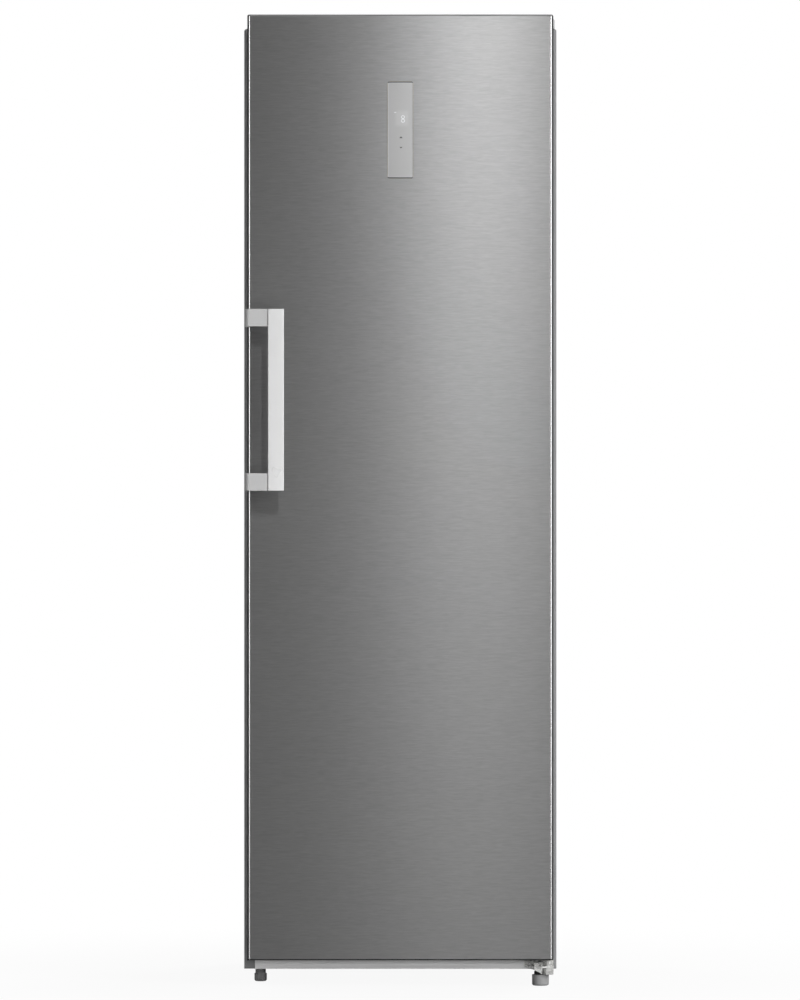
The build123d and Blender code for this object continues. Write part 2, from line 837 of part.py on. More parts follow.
def front_trim(height, lip):
    """The rim that is clipped on a shelf's front edge, with a lip of a given height over the glass."""
    y = (shelf_front_y - trim_wall, shelf_front_y - trim_wall + trim_depth)
    rim = block(across(trim_half), y, (height - trim_lip, height + glass_thickness + lip))
    rim = chamfer(rim.edges().filter_by(Axis.X).group_by(Axis.Y)[0], trim_wall)
    return rim - block(across(trim_half), (shelf_front_y, y[1]), (height, height + glass_thickness))


def rear_stop(height):
    """The angle along a shelf's back edge that keeps the food off the wall."""
    top = height + glass_thickness
    y = (shelf_back_y - stop_depth, shelf_back_y)
    stop = block(across(trim_half), y, (top, top + stop_height))
    return stop - block(across(trim_half), (y[0], y[1] - trim_wall), (top + trim_wall, top + stop_height))


def shelf_trims():
    """Front rims and rear stops; the divider's rim has no lip, because the upper drawer slides over it."""
    trims = front_trim(divider_z, 0) + rear_stop(divider_z)
    for height in [crisper_cover_z] + shelf_heights:
        trims += front_trim(height, trim_lip) + rear_stop(height)
    return trims


# Drawers
drawer_side_gap = 17.5
drawer_wall = 3.0
drawer_corner = 15.0
drawer_front = 5.0
drawer_front_corner = 4.0
drawer_headroom = 12.0
drawer_upper_back_gap = 10.0
drawer_lower_back_gap = 5.0
pull_height = 22.0
pull_depth = 3.0
pull_edge = 4.0
drawer_half = inner_half - drawer_side_gap


def rounded_tub(x, y, z, radius):
    """A box rounded along its upright edges and round its floor."""
    tub = block(x, y, z)
    return fillet(tub.faces().sort_by(Axis.Z)[0].edges() + tub.edges().filter_by(Axis.Z), radius)


def drawer(back, z):
    """A moulded drawer, open above, with a pull recess along its front."""
    y = (shelf_front_y + drawer_front, back)
    inside_y = (y[0] + drawer_wall, y[1] - drawer_wall)
    outside = rounded_tub(across(drawer_half), y, z, drawer_corner)
    inside_z = (z[0] + drawer_wall, z[1] + drawer_wall)
    inside = rounded_tub(across(drawer_half - drawer_wall), inside_y, inside_z, drawer_corner - drawer_wall)
    front = block(across(drawer_half), (shelf_front_y, inside_y[0]), (z[0] + drawer_corner, z[1]))
    front = fillet(front.edges().filter_by(Axis.Z).group_by(Axis.Y)[0], drawer_front_corner)
    pull_z = (z[1] - pull_edge - pull_height, z[1] - pull_edge)
    pull = block(across(drawer_half / 2), (shelf_front_y, shelf_front_y + pull_depth), pull_z)
    return outside + front - inside - pull


def crisper_upper():
    z = (divider_z + glass_thickness + slide_clearance, crisper_cover_z - drawer_headroom)
    return drawer(duct_front_y - drawer_upper_back_gap, z)


def crisper_lower():
    z = (inner_floor + slide_clearance, divider_z - drawer_headroom)
    return drawer(step_y - drawer_lower_back_gap, z)


# Air duct on the rear wall, with the fan, the evaporator and the lamp
duct_wall = 2.5
duct_half = 190.0
duct_corner = 14.0
duct_lift = 18.0
duct_head_gap = 64.0
column_half = 85.0
fan_radius = 55.0
fan_rise = 75.0
fan_setback = 20.0
fan_shoulder = 15.0
outlet_size = (110.0, 8.0)
outlet_share = 0.6
grille_hub = 14.0
grille_slot = 7.0
grille_pitch = 13.0
grille_rings = 3
grille_spoke = 5.0
intake_size = (50.0, 8.0)
intake_pitch = 34.0
intake_count = 9
intake_rise = 60.0
fan_ring = 3.0
fan_hub_radius = 17.0
fan_hub_length = 16.0
fan_hub_edge = 3.0
fan_hub_root = 2.0
fan_tip_gap = 3.0
fan_shaft_radius = 2.0
fan_shaft_reach = 4.0
fan_shaft_end = 2.0
motor_gap = 2.0
motor_arm_width = 6.0
motor_arm_depth = 4.0
blade_count = 5
blade_thickness = 1.8
blade_root_chord = 20.0
blade_root_pitch = 50.0
blade_tip_chord = 32.0
blade_tip_pitch = 28.0
coil_rise = 105.0
coil_half = 160.0
coil_half_depth = 14.0
coil_rows = 2
fin_count = 5
fin_half = 0.6
lamp_half = 80.0
lamp_half_depth = 22.0
lamp_setback = 100.0
lamp_height = 8.0
lamp_edge = 5.0
fan_z = crisper_cover_z + shelf_pitch / 2 + fan_rise
fan_y = duct_front_y + fan_setback
motor_y = fan_y + fan_hub_length / 2 + motor_gap
duct_low = step_top + duct_lift
duct_shoulder = fan_z + fan_radius + fan_shoulder
duct_high = inner_ceiling - duct_head_gap


def duct_shape(inset):
    """The air duct's outer form, or its hollow."""
    y = (duct_front_y + inset, inner_back_y)
    low = block(across(duct_half - inset), y, (duct_low + inset, duct_shoulder - inset))
    column = block(across(column_half - inset), y, (duct_low + inset, duct_high - inset))
    edges = low.edges().filter_by(Axis.Z).group_by(Axis.Y)[0]
    column_edges = column.edges().filter_by(Axis.Z).group_by(Axis.Y)[0]
    return fillet(edges, duct_corner - inset) + fillet(column_edges, duct_corner - inset)


def fan_grille():
    """Rings of slots in front of the fan, parted by three spokes."""
    grille = Sketch()
    for number in range(grille_rings):
        inner = grille_hub + grille_pitch * number
        grille += Circle(inner + grille_slot) - Circle(inner)
    for angle in (0, 60, 120):
        grille -= Rot(0, 0, angle) * Rectangle(2 * fan_radius, grille_spoke)
    return Pos(0, fan_z) * grille


def air_duct_cover():
    """The moulded cover of the air duct, with a fan grille, an outlet above each shelf and a return below."""
    cover = duct_shape(0) - duct_shape(duct_wall)
    face = (duct_front_y, duct_front_y + duct_wall)
    for height in shelf_heights:
        cover -= front_view(Pos(0, height + outlet_share * shelf_pitch) * SlotOverall(*outlet_size), face)
    cover -= front_view(fan_grille(), face)
    intake = Rot(0, 0, 90) * Rectangle(*intake_size)
    for number in range(intake_count):
        x = intake_pitch * (number - (intake_count - 1) / 2)
        cover -= front_view(Pos(x, duct_low + intake_rise) * intake, face)
    return cover


def along_fan(y, radius):
    """A round piece on the fan's axis, between two places along Y."""
    return rod((0, y[0], fan_z), (0, y[1], fan_z), radius)


def fan_motor():
    """The fan's motor on three arms in its ring, with its shaft."""
    ring_y = (fan_y - fan_hub_length / 2, motor_y + motor_arm_depth)
    housing = along_fan(ring_y, fan_radius + fan_ring) - along_fan(ring_y, fan_radius)
    housing += along_fan((motor_y, inner_back_y), fan_hub_radius)
    arm_length = fan_radius + fan_ring / 2
    for angle in (90, 210, 330):
        arm = Rot(0, 0, angle) * Pos(arm_length / 2, 0) * Rectangle(arm_length, motor_arm_width)
        housing += front_view(Pos(0, fan_z) * arm, (motor_y, motor_y + motor_arm_depth))
    return housing + along_fan((fan_y - fan_shaft_reach, motor_y), fan_shaft_radius)


def fan_blade():
    """One twisted blade, lofted from the hub to the tip."""
    root = (fan_hub_radius - fan_hub_root, blade_root_chord, blade_root_pitch)
    tip = (fan_radius - fan_tip_gap, blade_tip_chord, blade_tip_pitch)
    sections = []
    for radius, chord, pitch in (root, tip):
        station = Plane(origin=(0, fan_y, fan_z + radius), x_dir=(1, 0, 0), z_dir=(0, 0, 1))
        sections.append(station * Rot(0, 0, pitch) * Rectangle(chord, blade_thickness))
    return loft(sections)


def fan_impeller():
    """The axial fan's hub and its twisted blades."""
    y = about(fan_y, fan_hub_length / 2)
    hub = along_fan(y, fan_hub_radius)
    hub = chamfer(hub.edges().group_by(Axis.Y)[0], fan_hub_edge)
    axis = Axis((0, fan_y, fan_z), (0, 1, 0))
    blade = fan_blade()
    for number in range(blade_count):
        hub += blade.rotate(axis, 360 * number / blade_count)
    bore_start = fan_y - fan_shaft_reach - fan_shaft_end
    return hub - along_fan((bore_start, y[1]), fan_shaft_radius + running_clearance)


def evaporator():
    """The finned evaporator coil inside the duct."""
    z = (duct_low + coil_rise, fan_z - fan_radius - fan_shoulder)
    middle = (duct_front_y + inner_back_y + duct_wall) / 2
    pitch = (z[1] - z[0]) / coil_rows
    corners = []
    for row in range(coil_rows):
        ends = across(coil_half) if row % 2 == 0 else across(-coil_half)
        corners += [(x, middle, z[0] + pitch * (row + 0.5)) for x in ends]
    bend = pitch / 2 - slide_clearance
    coil = tube(FilletPolyline(*corners, radius=bend), pipe_radius)
    fin_pitch = 2 * (coil_half - bend - pipe_radius) / (fin_count - 1)
    for number in range(fin_count):
        x = fin_pitch * (number - (fin_count - 1) / 2)
        coil += block(about(x, fin_half), about(middle, coil_half_depth), z)
    return coil


def lamp_lens():
    """The frosted lens of the ceiling lamp."""
    y = about(front_y + lamp_setback, lamp_half_depth)
    lens = block(across(lamp_half), y, (inner_ceiling - lamp_height, inner_ceiling))
    return chamfer(lens.faces().sort_by(Axis.Z)[0].edges(), lamp_edge)


# Door
skin_edge = 10.0
plug_clearance = 0.2
lip_depth = 12.0
lip_edge = 3.2
bottom_edge = 2.5
panel_size = (48.0, 184.0)
panel_drop = 127.0
panel_clearance = 0.4
panel_proud = 0.3
panel_thickness = 3.0
panel_corner = 4.4
panel_edge = 0.25
flange_inset = 2.0
gasket_inset = 10.5
gasket_width = 11.0
gasket_wall = 1.5
gasket_lift = 12.0
gasket_drop = 9.0
magnet_depth = 4.3
root_width = 3.6
root_length = 5.0
groove_width = 4.0
groove_depth = 6.0
dike_gap = 10.5
dike_width = 22.0
dike_reach = 60.0
dike_crest = 6.0
dike_lift = 37.0
dike_drop = 57.0
gasket_z = (door_bottom + gasket_lift, door_body_top - gasket_drop)
gasket_half = door_half - gasket_inset
dike_half = inner_half - dike_gap
dike_inner_half = dike_half - dike_width
dike_z = (gasket_z[0] + dike_lift, gasket_z[1] - dike_drop)
lip_back_y = door_front_y + lip_depth
plug_back_y = door_back_y - groove_depth - 2 * liner_wall - fit_clearance


def door_plan(inset):
    """The door's plan outline with its rounded front corners, or the same drawn in."""
    x = door_half - inset
    front = door_front_y + inset
    back = door_skin_back_y - inset
    outline = polygon((-x, front), (x, front), (x, back), (-x, back))
    return fillet(outline.vertices().group_by(Axis.Y)[0], door_corner - inset)


def before(y):
    """Everything in front of a place along Y, as wide and high as the door."""
    return block(across(door_half), (door_front_y, y), (door_bottom, door_top))


def behind(y):
    """Everything behind a place along Y, as wide and high as the door."""
    return block(across(door_half), (y, door_back_y), (door_bottom, door_top))


def panel_outline(grow):
    """The touch panel's front outline, or the cut-out round it."""
    width, height = panel_size
    middle = door_top - panel_drop - height / 2
    return Pos(0, middle) * RectangleRounded(width + 2 * grow, height + 2 * grow, panel_corner + grow)


def panel_recess():
    depth = (door_front_y, door_front_y + panel_thickness)
    return front_view(panel_outline(panel_clearance), depth)


def door_skin():
    """The brushed steel front, folded round the sides and in again at the back."""
    z = (door_bottom + bottom_edge, door_top - lip_edge)
    skin = upright(door_plan(0), z) - upright(door_plan(steel_sheet), z)
    skin -= block(across(door_half - skin_edge), (door_skin_back_y - steel_sheet, door_skin_back_y), z)
    skin -= block(across(door_half), (lip_back_y, door_back_y), (door_body_top, door_top))
    return skin - panel_recess()


def door_top_cap():
    """The moulded top cap: a plug in the skin, a low top for the hinge arm and a raised front lip."""
    plug_plan = door_plan(steel_sheet + plug_clearance)
    cap = upright(plug_plan, (door_body_top - cap_depth, door_body_top)) & before(plug_back_y)
    cap += upright(door_plan(0), (door_body_top, cap_top)) & behind(lip_back_y)
    cap += upright(plug_plan, (door_body_top, door_top - lip_edge)) & before(lip_back_y)
    lip = upright(door_plan(0), (door_top - lip_edge, door_top)) & before(lip_back_y)
    ends = lip.faces().sort_by(Axis.Z)[-1].edges().filter_by(Axis.Y)
    cap += fillet(ends, lip_edge - plug_clearance)
    return cap - post(hinge_x, hinge_y, (cap_top - cap_depth, cap_top), bush_radius)


def door_bottom_cap():
    """The moulded bottom cap, plugged into the skin's lower end."""
    seam = door_bottom + bottom_edge
    cap = upright(door_plan(0), (door_bottom, seam))
    cap += upright(door_plan(steel_sheet + plug_clearance), (seam, seam + cap_depth)) & before(plug_back_y)
    return cap - post(hinge_x, hinge_y, (door_bottom, door_bottom + bush_length), bush_radius)


def dike(inset):
    """The raised frame on the door liner, or its hollow."""
    z = (dike_z[0] + inset, dike_z[1] - inset)
    y = (door_back_y - liner_wall, door_back_y + dike_reach - inset)
    frame = ring(dike_half - inset, z, dike_width - 2 * inset, y)
    return fillet(frame.faces().sort_by(Axis.Y)[-1].edges(), dike_crest - inset)


def groove(wall):
    """The gasket's groove in the door liner, or the moulded wall round it."""
    inset = (gasket_width - groove_width) / 2 - wall
    z = (gasket_z[0] + inset, gasket_z[1] - inset)
    y = (door_back_y - groove_depth - 2 * wall, door_back_y)
    return ring(gasket_half - inset, z, groove_width + 2 * wall, y)


def dike_foam():
    """The foam bars that fill the raised frame, mitred where they meet."""
    frame = dike(liner_wall)
    y = (door_back_y - liner_wall, door_back_y + dike_reach)
    loops = []
    for inset in (liner_wall, dike_width - liner_wall):
        x = dike_half - inset
        z = (dike_z[0] + inset, dike_z[1] - inset)
        loops.append([(-x, z[0]), (x, z[0]), (x, z[1]), (-x, z[1])])
    outer, inner = loops
    sides = [polygon(outer[side - 1], outer[side], inner[side], inner[side - 1]) for side in range(4)]
    return [(frame & front_view(outline, y)).solid() for outline in sides]


def door_insulation():
    """The foam in the door: a slab behind the skin, and bars in the liner's raised frame."""
    z = (door_bottom + bottom_edge + cap_depth, door_body_top - cap_depth)
    slab = upright(door_plan(steel_sheet), z)
    slab += block(across(door_half - skin_edge), (hinge_y, door_skin_back_y), z)
    slab -= groove(liner_wall) + panel_recess()
    return Compound([slab.solid(), *dike_foam()])


# Balconies, which hang on lugs inside the raised frame of the door liner
lug_reach = 5.0
lug_width = 20.0
lug_height = 24.0
lug_rise = 10.0
lug_root = 1.0
lug_clearance = 0.5
balcony_gap = 2.0
balcony_side_gap = 0.7
balcony_depth = 98.0
balcony_height = 92.0
balcony_back_height = 38.0
balcony_shoulder = 30.0
balcony_corner = 20.0
balcony_wall = 3.0
balcony_first = 26.0
pocket_wall = 2.0
balcony_half = dike_inner_half - balcony_side_gap
balcony_y = (door_back_y + balcony_gap, door_back_y + balcony_gap + balcony_depth)
lug_y = about(door_back_y + dike_reach / 2, lug_width / 2)


def balcony_places():
    """The heights of the balconies' floors, evenly spaced up the door."""
    pitch = (dike_z[1] - dike_z[0] - 2 * dike_width) / balcony_count
    lowest = dike_z[0] + dike_width + balcony_first
    return [lowest + pitch * number for number in range(balcony_count)]


def door_liner():
    """The moulded inner door: flange, gasket groove, raised frame and the lugs for the balconies."""
    z = (door_bottom + flange_inset, door_body_top - flange_inset)
    plate = block(across(door_half - flange_inset), (door_skin_back_y, door_back_y), z)
    plate += groove(liner_wall)
    plate -= groove(0)
    plate += dike(0)
    plate -= dike(liner_wall)
    for height in balcony_places():
        low = height + lug_rise
        lug = block((dike_inner_half - lug_reach, dike_inner_half + lug_root), lug_y, (low, low + lug_height))
        plate += lug + mirrored(lug)
    return plate


def balcony_plan(inset):
    """A balcony's plan outline with its rounded outer corners, or its hollow's."""
    half = balcony_half - inset
    y = (balcony_y[0] + inset, balcony_y[1] - inset)
    outline = polygon((-half, y[0]), (half, y[0]), (half, y[1]), (-half, y[1]))
    return fillet(outline.vertices().group_by(Axis.Y)[-1], balcony_corner - inset)


def balcony(height):
    """A door balcony: a moulded bin with slots in its ends that drop over the door's lugs."""
    top = height + balcony_height
    low_back = height + balcony_back_height
    sloped_away = polygon(
        (balcony_y[0], low_back),
        (balcony_y[0] + balcony_wall, low_back),
        (balcony_y[1] - balcony_shoulder, top),
        (balcony_y[0], top),
    )
    bin_body = upright(balcony_plan(0), (height, top))
    bin_body -= upright(balcony_plan(balcony_wall), (height + balcony_wall, top))
    bin_body -= side_view(sloped_away, across(balcony_half))
    slot_y = (lug_y[0] - lug_clearance, lug_y[1] + lug_clearance)
    slot_top = height + lug_rise + lug_height + lug_clearance
    slot_x = (balcony_half - lug_reach, balcony_half)
    pocket_x = (slot_x[0] - pocket_wall, slot_x[1])
    pocket_y = (slot_y[0] - pocket_wall, slot_y[1] + pocket_wall)
    pocket = block(pocket_x, pocket_y, (height, slot_top + pocket_wall))
    slot = block(slot_x, slot_y, (height, slot_top))
    bin_body += pocket + mirrored(pocket)
    return bin_body - slot - mirrored(slot)


# Door seal and touch panel


def door_gasket():
    """The magnetic seal: a root in the liner's groove, a base, a bellows wall and the magnet's chamber."""
    root_inset = (gasket_width - root_width) / 2
    root_z = (gasket_z[0] + root_inset, gasket_z[1] - root_inset)
    root_y = (door_back_y - root_length, door_back_y)
    magnet_y = (front_y - seal_clearance - magnet_depth, front_y - seal_clearance)
    seal = ring(gasket_half - root_inset, root_z, root_width, root_y)
    seal += ring(gasket_half, gasket_z, gasket_width, (door_back_y, door_back_y + gasket_wall))
    seal += ring(gasket_half, gasket_z, gasket_wall, (door_back_y, magnet_y[1]))
    return seal + ring(gasket_half, gasket_z, gasket_width, magnet_y)


def control_panel():
    """The touch panel let into the door's front, a hair proud of the steel."""
    plate = front_view(panel_outline(0), (door_front_y - panel_proud, door_front_y + panel_thickness))
    return chamfer(plate.faces().sort_by(Axis.Y)[0].edges(), panel_edge)


# Handle
bar_width = 30.0
bar_depth = 10.0
bar_inset = 40.2
bar_edge = 1.2
bar_low = 889.5
bar_length = 343.3
leg_height = 33.0
leg_thickness = 3.0
leg_back = 45.0
leg_step = 2.0
leg_corner = 8.0
leg_bite = 5.0
leg_slant = 6.0
leg_hollow = 3.0
bar_seam = 0.8
tongue = 5.0
tongue_inset = 6.0
screw_cap_width = 26.0
screw_cap_margin = 1.5
screw_cap_corner = 3.0
screw_cap_back = 16.0
screw_cap_height = 1.5
screw_cap_edge = 0.6
bar_bottom = door_bottom + bar_low
bar_top = bar_bottom + bar_length
bar_x = (-door_half + bar_inset, -door_half + bar_inset + bar_width)
bar_y = (door_front_y - handle_reach, door_front_y - handle_reach + bar_depth)
lower_leg_z = (bar_bottom, bar_bottom + leg_height)
upper_leg_z = (bar_top - leg_height, bar_top)


def handle_bar():
    """The flat bar of the handle."""
    return chamfer(block(bar_x, bar_y, (bar_bottom, bar_top)).edges(), bar_edge)


def handle_bracket(z):
    """A bracket that wraps from the door's side round its front corner to the bar."""
    side = -door_half
    out = side - leg_thickness
    front = bar_y[0] + leg_step
    back = door_front_y + leg_back
    seam_x = bar_x[0] - bar_seam
    tongue_x = bar_x[1] - tongue_inset
    outline = polygon(
        (seam_x, front),
        (out, front),
        (out, back),
        (side, back),
        (side, door_front_y + slide_clearance),
        (side + leg_slant, door_front_y - leg_bite),
        (side + leg_slant, bar_y[1] + tongue),
        (tongue_x, bar_y[1] + tongue),
        (tongue_x, bar_y[1]),
        (seam_x, bar_y[1]),
    )
    corner = outline.vertices().sort_by_distance((out, front, 0))[0]
    outline = fillet(corner, leg_corner)
    hollow = outline.vertices().sort_by_distance((side + leg_slant, bar_y[1] + tongue, 0))[0]
    return upright(fillet(hollow, leg_hollow), z)


def handle_screw_caps():
    """Dark caps over the screws in the brackets' side legs."""
    outline = RectangleRounded(screw_cap_width, leg_height - 2 * screw_cap_margin, screw_cap_corner)
    side = -door_half - leg_thickness
    caps = Part()
    for z in (lower_leg_z, upper_leg_z):
        place = Pos(door_front_y + leg_back - screw_cap_back, sum(z) / 2)
        cap = side_view(place * outline, (side - screw_cap_height, side))
        caps += chamfer(cap.faces().sort_by(Axis.X)[0].edges(), screw_cap_edge)
    return caps


def pieces():
    """Every sub-part by name."""
    right_panel = side_panel()
    runner = base_runner()
    axle = roller_axle()
    wheel = roller()
    parts = {
        "side_panel_left": mirrored(right_panel),
        "side_panel_right": right_panel - screw_holes(),
        "top_panel": top_panel(),
        "back_panel": back_panel(),
        "base_pan": base_pan(),
        "front_rail": front_rail(),
        "base_runners": runner + mirrored(runner),
        "liner": liner(),
        "insulation": insulation(),
        "compressor_tray": compressor_tray(),
        "compressor": compressor(),
        "compressor_mounts": compressor_mounts(),
        "relay_cover": relay_cover(),
        "evaporation_pan": evaporation_pan(),
        "refrigerant_pipes": refrigerant_pipes(),
        "filter_drier": filter_drier(),
        "cord_gland": cord_gland(),
        "bottom_hinge_bracket": bottom_hinge_bracket(),
        "bottom_hinge_pin": bottom_hinge_pin(),
        "top_hinge_bracket": top_hinge_bracket(),
        "top_hinge_pin": top_hinge_pin(),
        "hinge_fasteners": hinge_screws() + foot_lock_nut(),
        "hinge_cover": hinge_cover(),
        "divider_glass": shelf_glass(divider_z),
        "crisper_cover_glass": shelf_glass(crisper_cover_z),
        "shelf_trims": shelf_trims(),
        "air_duct_cover": air_duct_cover(),
        "fan_motor": fan_motor(),
        "evaporator": evaporator(),
        "lamp_lens": lamp_lens(),
        "roller_axles": axle + mirrored(axle),
        "door_skin": door_skin(),
        "door_top_cap": door_top_cap(),
        "door_bottom_cap": door_bottom_cap(),
        "door_insulation": door_insulation(),
        "door_liner": door_liner(),
        "door_gasket": door_gasket(),
        "control_panel": control_panel(),
        "handle_bar": handle_bar(),
        "handle_bracket_upper": handle_bracket(upper_leg_z),
        "handle_bracket_lower": handle_bracket(lower_leg_z),
        "handle_screw_caps": handle_screw_caps(),
        "hinge_bushes": hinge_bushes(),
        "crisper_upper": crisper_upper(),
        "crisper_lower": crisper_lower(),
        "fan_impeller": fan_impeller(),
        "foot_left": foot_left(),
        "foot_right": foot_right(),
        "roller_left": mirrored(wheel),
        "roller_right": wheel,
    }
    for number, height in enumerate(shelf_heights, 1):
        parts[f"shelf_glass_{number}"] = shelf_glass(height)
    for number, height in enumerate(balcony_places(), 1):
        parts[f"door_balcony_{number}"] = balcony(height)
    return parts


os.makedirs("parts", exist_ok=True)
for name, shape in pieces().items():
    export_step(shape, f"parts/{name}.step")
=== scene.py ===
import bpy
import numpy as np
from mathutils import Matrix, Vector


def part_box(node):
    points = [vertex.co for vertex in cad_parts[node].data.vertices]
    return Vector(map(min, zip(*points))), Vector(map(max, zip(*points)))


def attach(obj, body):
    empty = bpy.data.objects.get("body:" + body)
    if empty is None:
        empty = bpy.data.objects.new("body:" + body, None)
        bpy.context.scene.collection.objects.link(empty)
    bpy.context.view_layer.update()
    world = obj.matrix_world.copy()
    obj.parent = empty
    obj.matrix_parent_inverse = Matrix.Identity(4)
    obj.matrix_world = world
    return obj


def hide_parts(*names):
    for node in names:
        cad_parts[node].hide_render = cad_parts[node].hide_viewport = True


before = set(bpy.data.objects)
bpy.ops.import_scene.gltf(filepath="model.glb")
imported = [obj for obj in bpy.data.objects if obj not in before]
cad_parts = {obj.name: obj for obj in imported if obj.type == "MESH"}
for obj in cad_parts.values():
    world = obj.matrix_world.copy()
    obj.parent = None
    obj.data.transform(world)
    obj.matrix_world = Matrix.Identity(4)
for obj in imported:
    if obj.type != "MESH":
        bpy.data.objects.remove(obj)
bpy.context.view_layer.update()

scene = bpy.context.scene


# Camera. The photograph was taken level and square to the door, from far off with a long lens, at about
# half the refrigerator's height, so that neither the sides nor the top of the cabinet show.
door_low, door_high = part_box("door_skin")
camera_distance = 12.0
camera_aside = -0.0006
camera_height = 0.923
frame_height = 1.8945
lens = bpy.data.cameras.new("long_lens")
lens.sensor_fit = "VERTICAL"
lens.sensor_height = 36.0
lens.lens = lens.sensor_height * camera_distance / frame_height
camera = bpy.data.objects.new("camera", lens)
camera.location = (camera_aside, door_low.y - camera_distance, camera_height)
camera.rotation_euler = (np.pi / 2, 0, 0)
scene.collection.objects.link(camera)
scene.camera = camera


# Cabinet sheets. Both sides and the top are cold-rolled steel, painted silver grey once they are folded,
# so that the paint has a fine orange peel and lies round over the folds.
noise_low, noise_high = 0.3, 0.7  # nearly all of a noise pattern's values lie between these two
clouds_per_metre = 9.0


def add_node(owner, kind, values=(), wires=(), **choices):
    """A node of this kind in the tree of a material or the world. Its choices are set first, then pairs
    of an input and its value, then pairs of an input and the output that is wired to it."""
    node = owner.node_tree.nodes.new("ShaderNode" + kind)
    for name, choice in choices.items():
        setattr(node, name, choice)
    for name, value in dict(values).items():
        node.inputs[name].default_value = value
    for name, output in dict(wires).items():
        owner.node_tree.links.new(output, node.inputs[name])
    return node


def surface_of(material):
    """The Principled shader that is the material's surface."""
    return material.node_tree.nodes["Principled BSDF"]


def feed(material, name, output):
    """Wires an output to the input of this name on the material's surface."""
    material.node_tree.links.new(output, surface_of(material).inputs[name])


def settle(material, values):
    """Sets the inputs of these names on the material's surface, each the same all over."""
    for name, value in values.items():
        surface_of(material).inputs[name].default_value = value


def finish(name, colour, roughness, metallic=0.0):
    """A new material with an even surface; its colour is linear red, green and blue."""
    material = bpy.data.materials.new(name)
    material.use_nodes = True
    material.diffuse_color = (*colour, 1.0)
    settle(material, {"Base Color": (*colour, 1.0), "Roughness": roughness, "Metallic": metallic})
    return material


def noise(material, cycles, detail=2.0, kind="TexNoise", output="Fac"):
    """A noise or cell pattern on Object coordinates that has this number of cycles per metre: one for all
    axes, or one for each of the three, which draws it out into streaks."""
    place = add_node(material, "TexCoord").outputs["Object"]
    stretch = np.broadcast_to(cycles, 3).tolist()
    scaled = add_node(material, "Mapping", {"Scale": stretch}, {"Vector": place}).outputs["Vector"]
    pattern = add_node(material, kind, {"Scale": 1.0, "Detail": detail}, {"Vector": scaled})
    return pattern.outputs[output]


def ramp(owner, value, start, end, low=0.0, high=1.0, **choices):
    """The value's way from start to end, brought onto the way from low to high and held at both."""
    values = {"From Min": start, "From Max": end, "To Min": low, "To Max": high}
    return add_node(owner, "MapRange", values, {"Value": value}, **choices).outputs["Result"]


def blend_colours(owner, share, first, second):
    """The first colour, an output or red, green and blue, plus the share of the way to the second."""
    wires = {"Factor": share}
    values = {"B": (*second, 1.0)}
    if isinstance(first, tuple):
        values["A"] = (*first, 1.0)
    else:
        wires["A"] = first
    return add_node(owner, "Mix", values, wires, data_type="RGBA").outputs["Result"]


def tint(material, value, colour, low, high):
    """The base colour is the colour times a factor that runs from low to high along the noise's values."""
    dark = tuple(low * part for part in colour)
    light = tuple(min(high * part, 1.0) for part in colour)
    shade = blend_colours(material, ramp(material, value, noise_low, noise_high), dark, light)
    feed(material, "Base Color", shade)
    return shade


def gloss(material, value, low, high):
    """The roughness runs from low to high along the noise's values."""
    feed(material, "Roughness", ramp(material, value, noise_low, noise_high, low, high))


def relief(material, value, depth, strength=0.5):
    """The surface rises and falls by the value times the depth in metres, as a bump."""
    bump = add_node(material, "Bump", {"Strength": strength, "Distance": depth}, {"Height": value})
    feed(material, "Normal", bump.outputs["Normal"])


def soft_edges(material, radius):
    """Edges are shaded as if rounded to the radius in metres, beneath the relief that is there."""
    rounding = add_node(material, "Bevel", {"Radius": radius}, samples=6)
    bump = surface_of(material).inputs["Normal"].links[0].from_node
    material.node_tree.links.new(rounding.outputs["Normal"], bump.inputs["Normal"])


def moulded(name, colour, roughness, grain, depth, spread=0.04, metallic=0.0):
    """A painted or moulded finish: its grain per metre stands in relief by the depth in metres, and slow
    clouds spread its colour by this share and its roughness by 0.05, both ways."""
    material = finish(name, colour, roughness, metallic)
    cloud = noise(material, clouds_per_metre, detail=3.0)
    tint(material, cloud, colour, 1.0 - spread, 1.0 + spread)
    gloss(material, cloud, roughness - 0.05, roughness + 0.05)
    relief(material, noise(material, grain), depth)
    return material


def dress(material, *names):
    """Puts the material in every slot of these CAD nodes."""
    for name in names:
        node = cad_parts[name]
        if not node.material_slots:
            node.data.materials.append(None)
        for place in node.material_slots:
            place.link = "OBJECT"
            place.material = material


silver_grey = (0.26, 0.262, 0.266)
cabinet_paint = moulded("cabinet_paint", silver_grey, 0.4, grain=900.0, depth=0.00012, spread=0.012)
soft_edges(cabinet_paint, 0.003)
dress(cabinet_paint, "side_panel_left", "side_panel_right", "top_panel")


# Back panel, base pan, runners and compressor tray. All are bare hot-dip galvanised sheet, held by the side
# panels' folds, and show the zinc's crystals: each, a cell of the pattern, has its own shade and gloss.
zinc_grey = (0.58, 0.59, 0.60)
crystals_per_metre = 170.0
zinc_sheet = finish("zinc_sheet", zinc_grey, 0.42, metallic=0.55)
crystals = noise(zinc_sheet, crystals_per_metre, detail=0.0, kind="TexVoronoi", output="Color")
crystal = add_node(zinc_sheet, "SeparateColor", wires={"Color": crystals})
tint(zinc_sheet, crystal.outputs["Red"], zinc_grey, 0.94, 1.05)
gloss(zinc_sheet, crystal.outputs["Green"], 0.38, 0.48)
relief(zinc_sheet, noise(zinc_sheet, 1500.0), depth=0.00004)
dress(zinc_sheet, "back_panel", "base_pan", "base_runners", "compressor_tray")


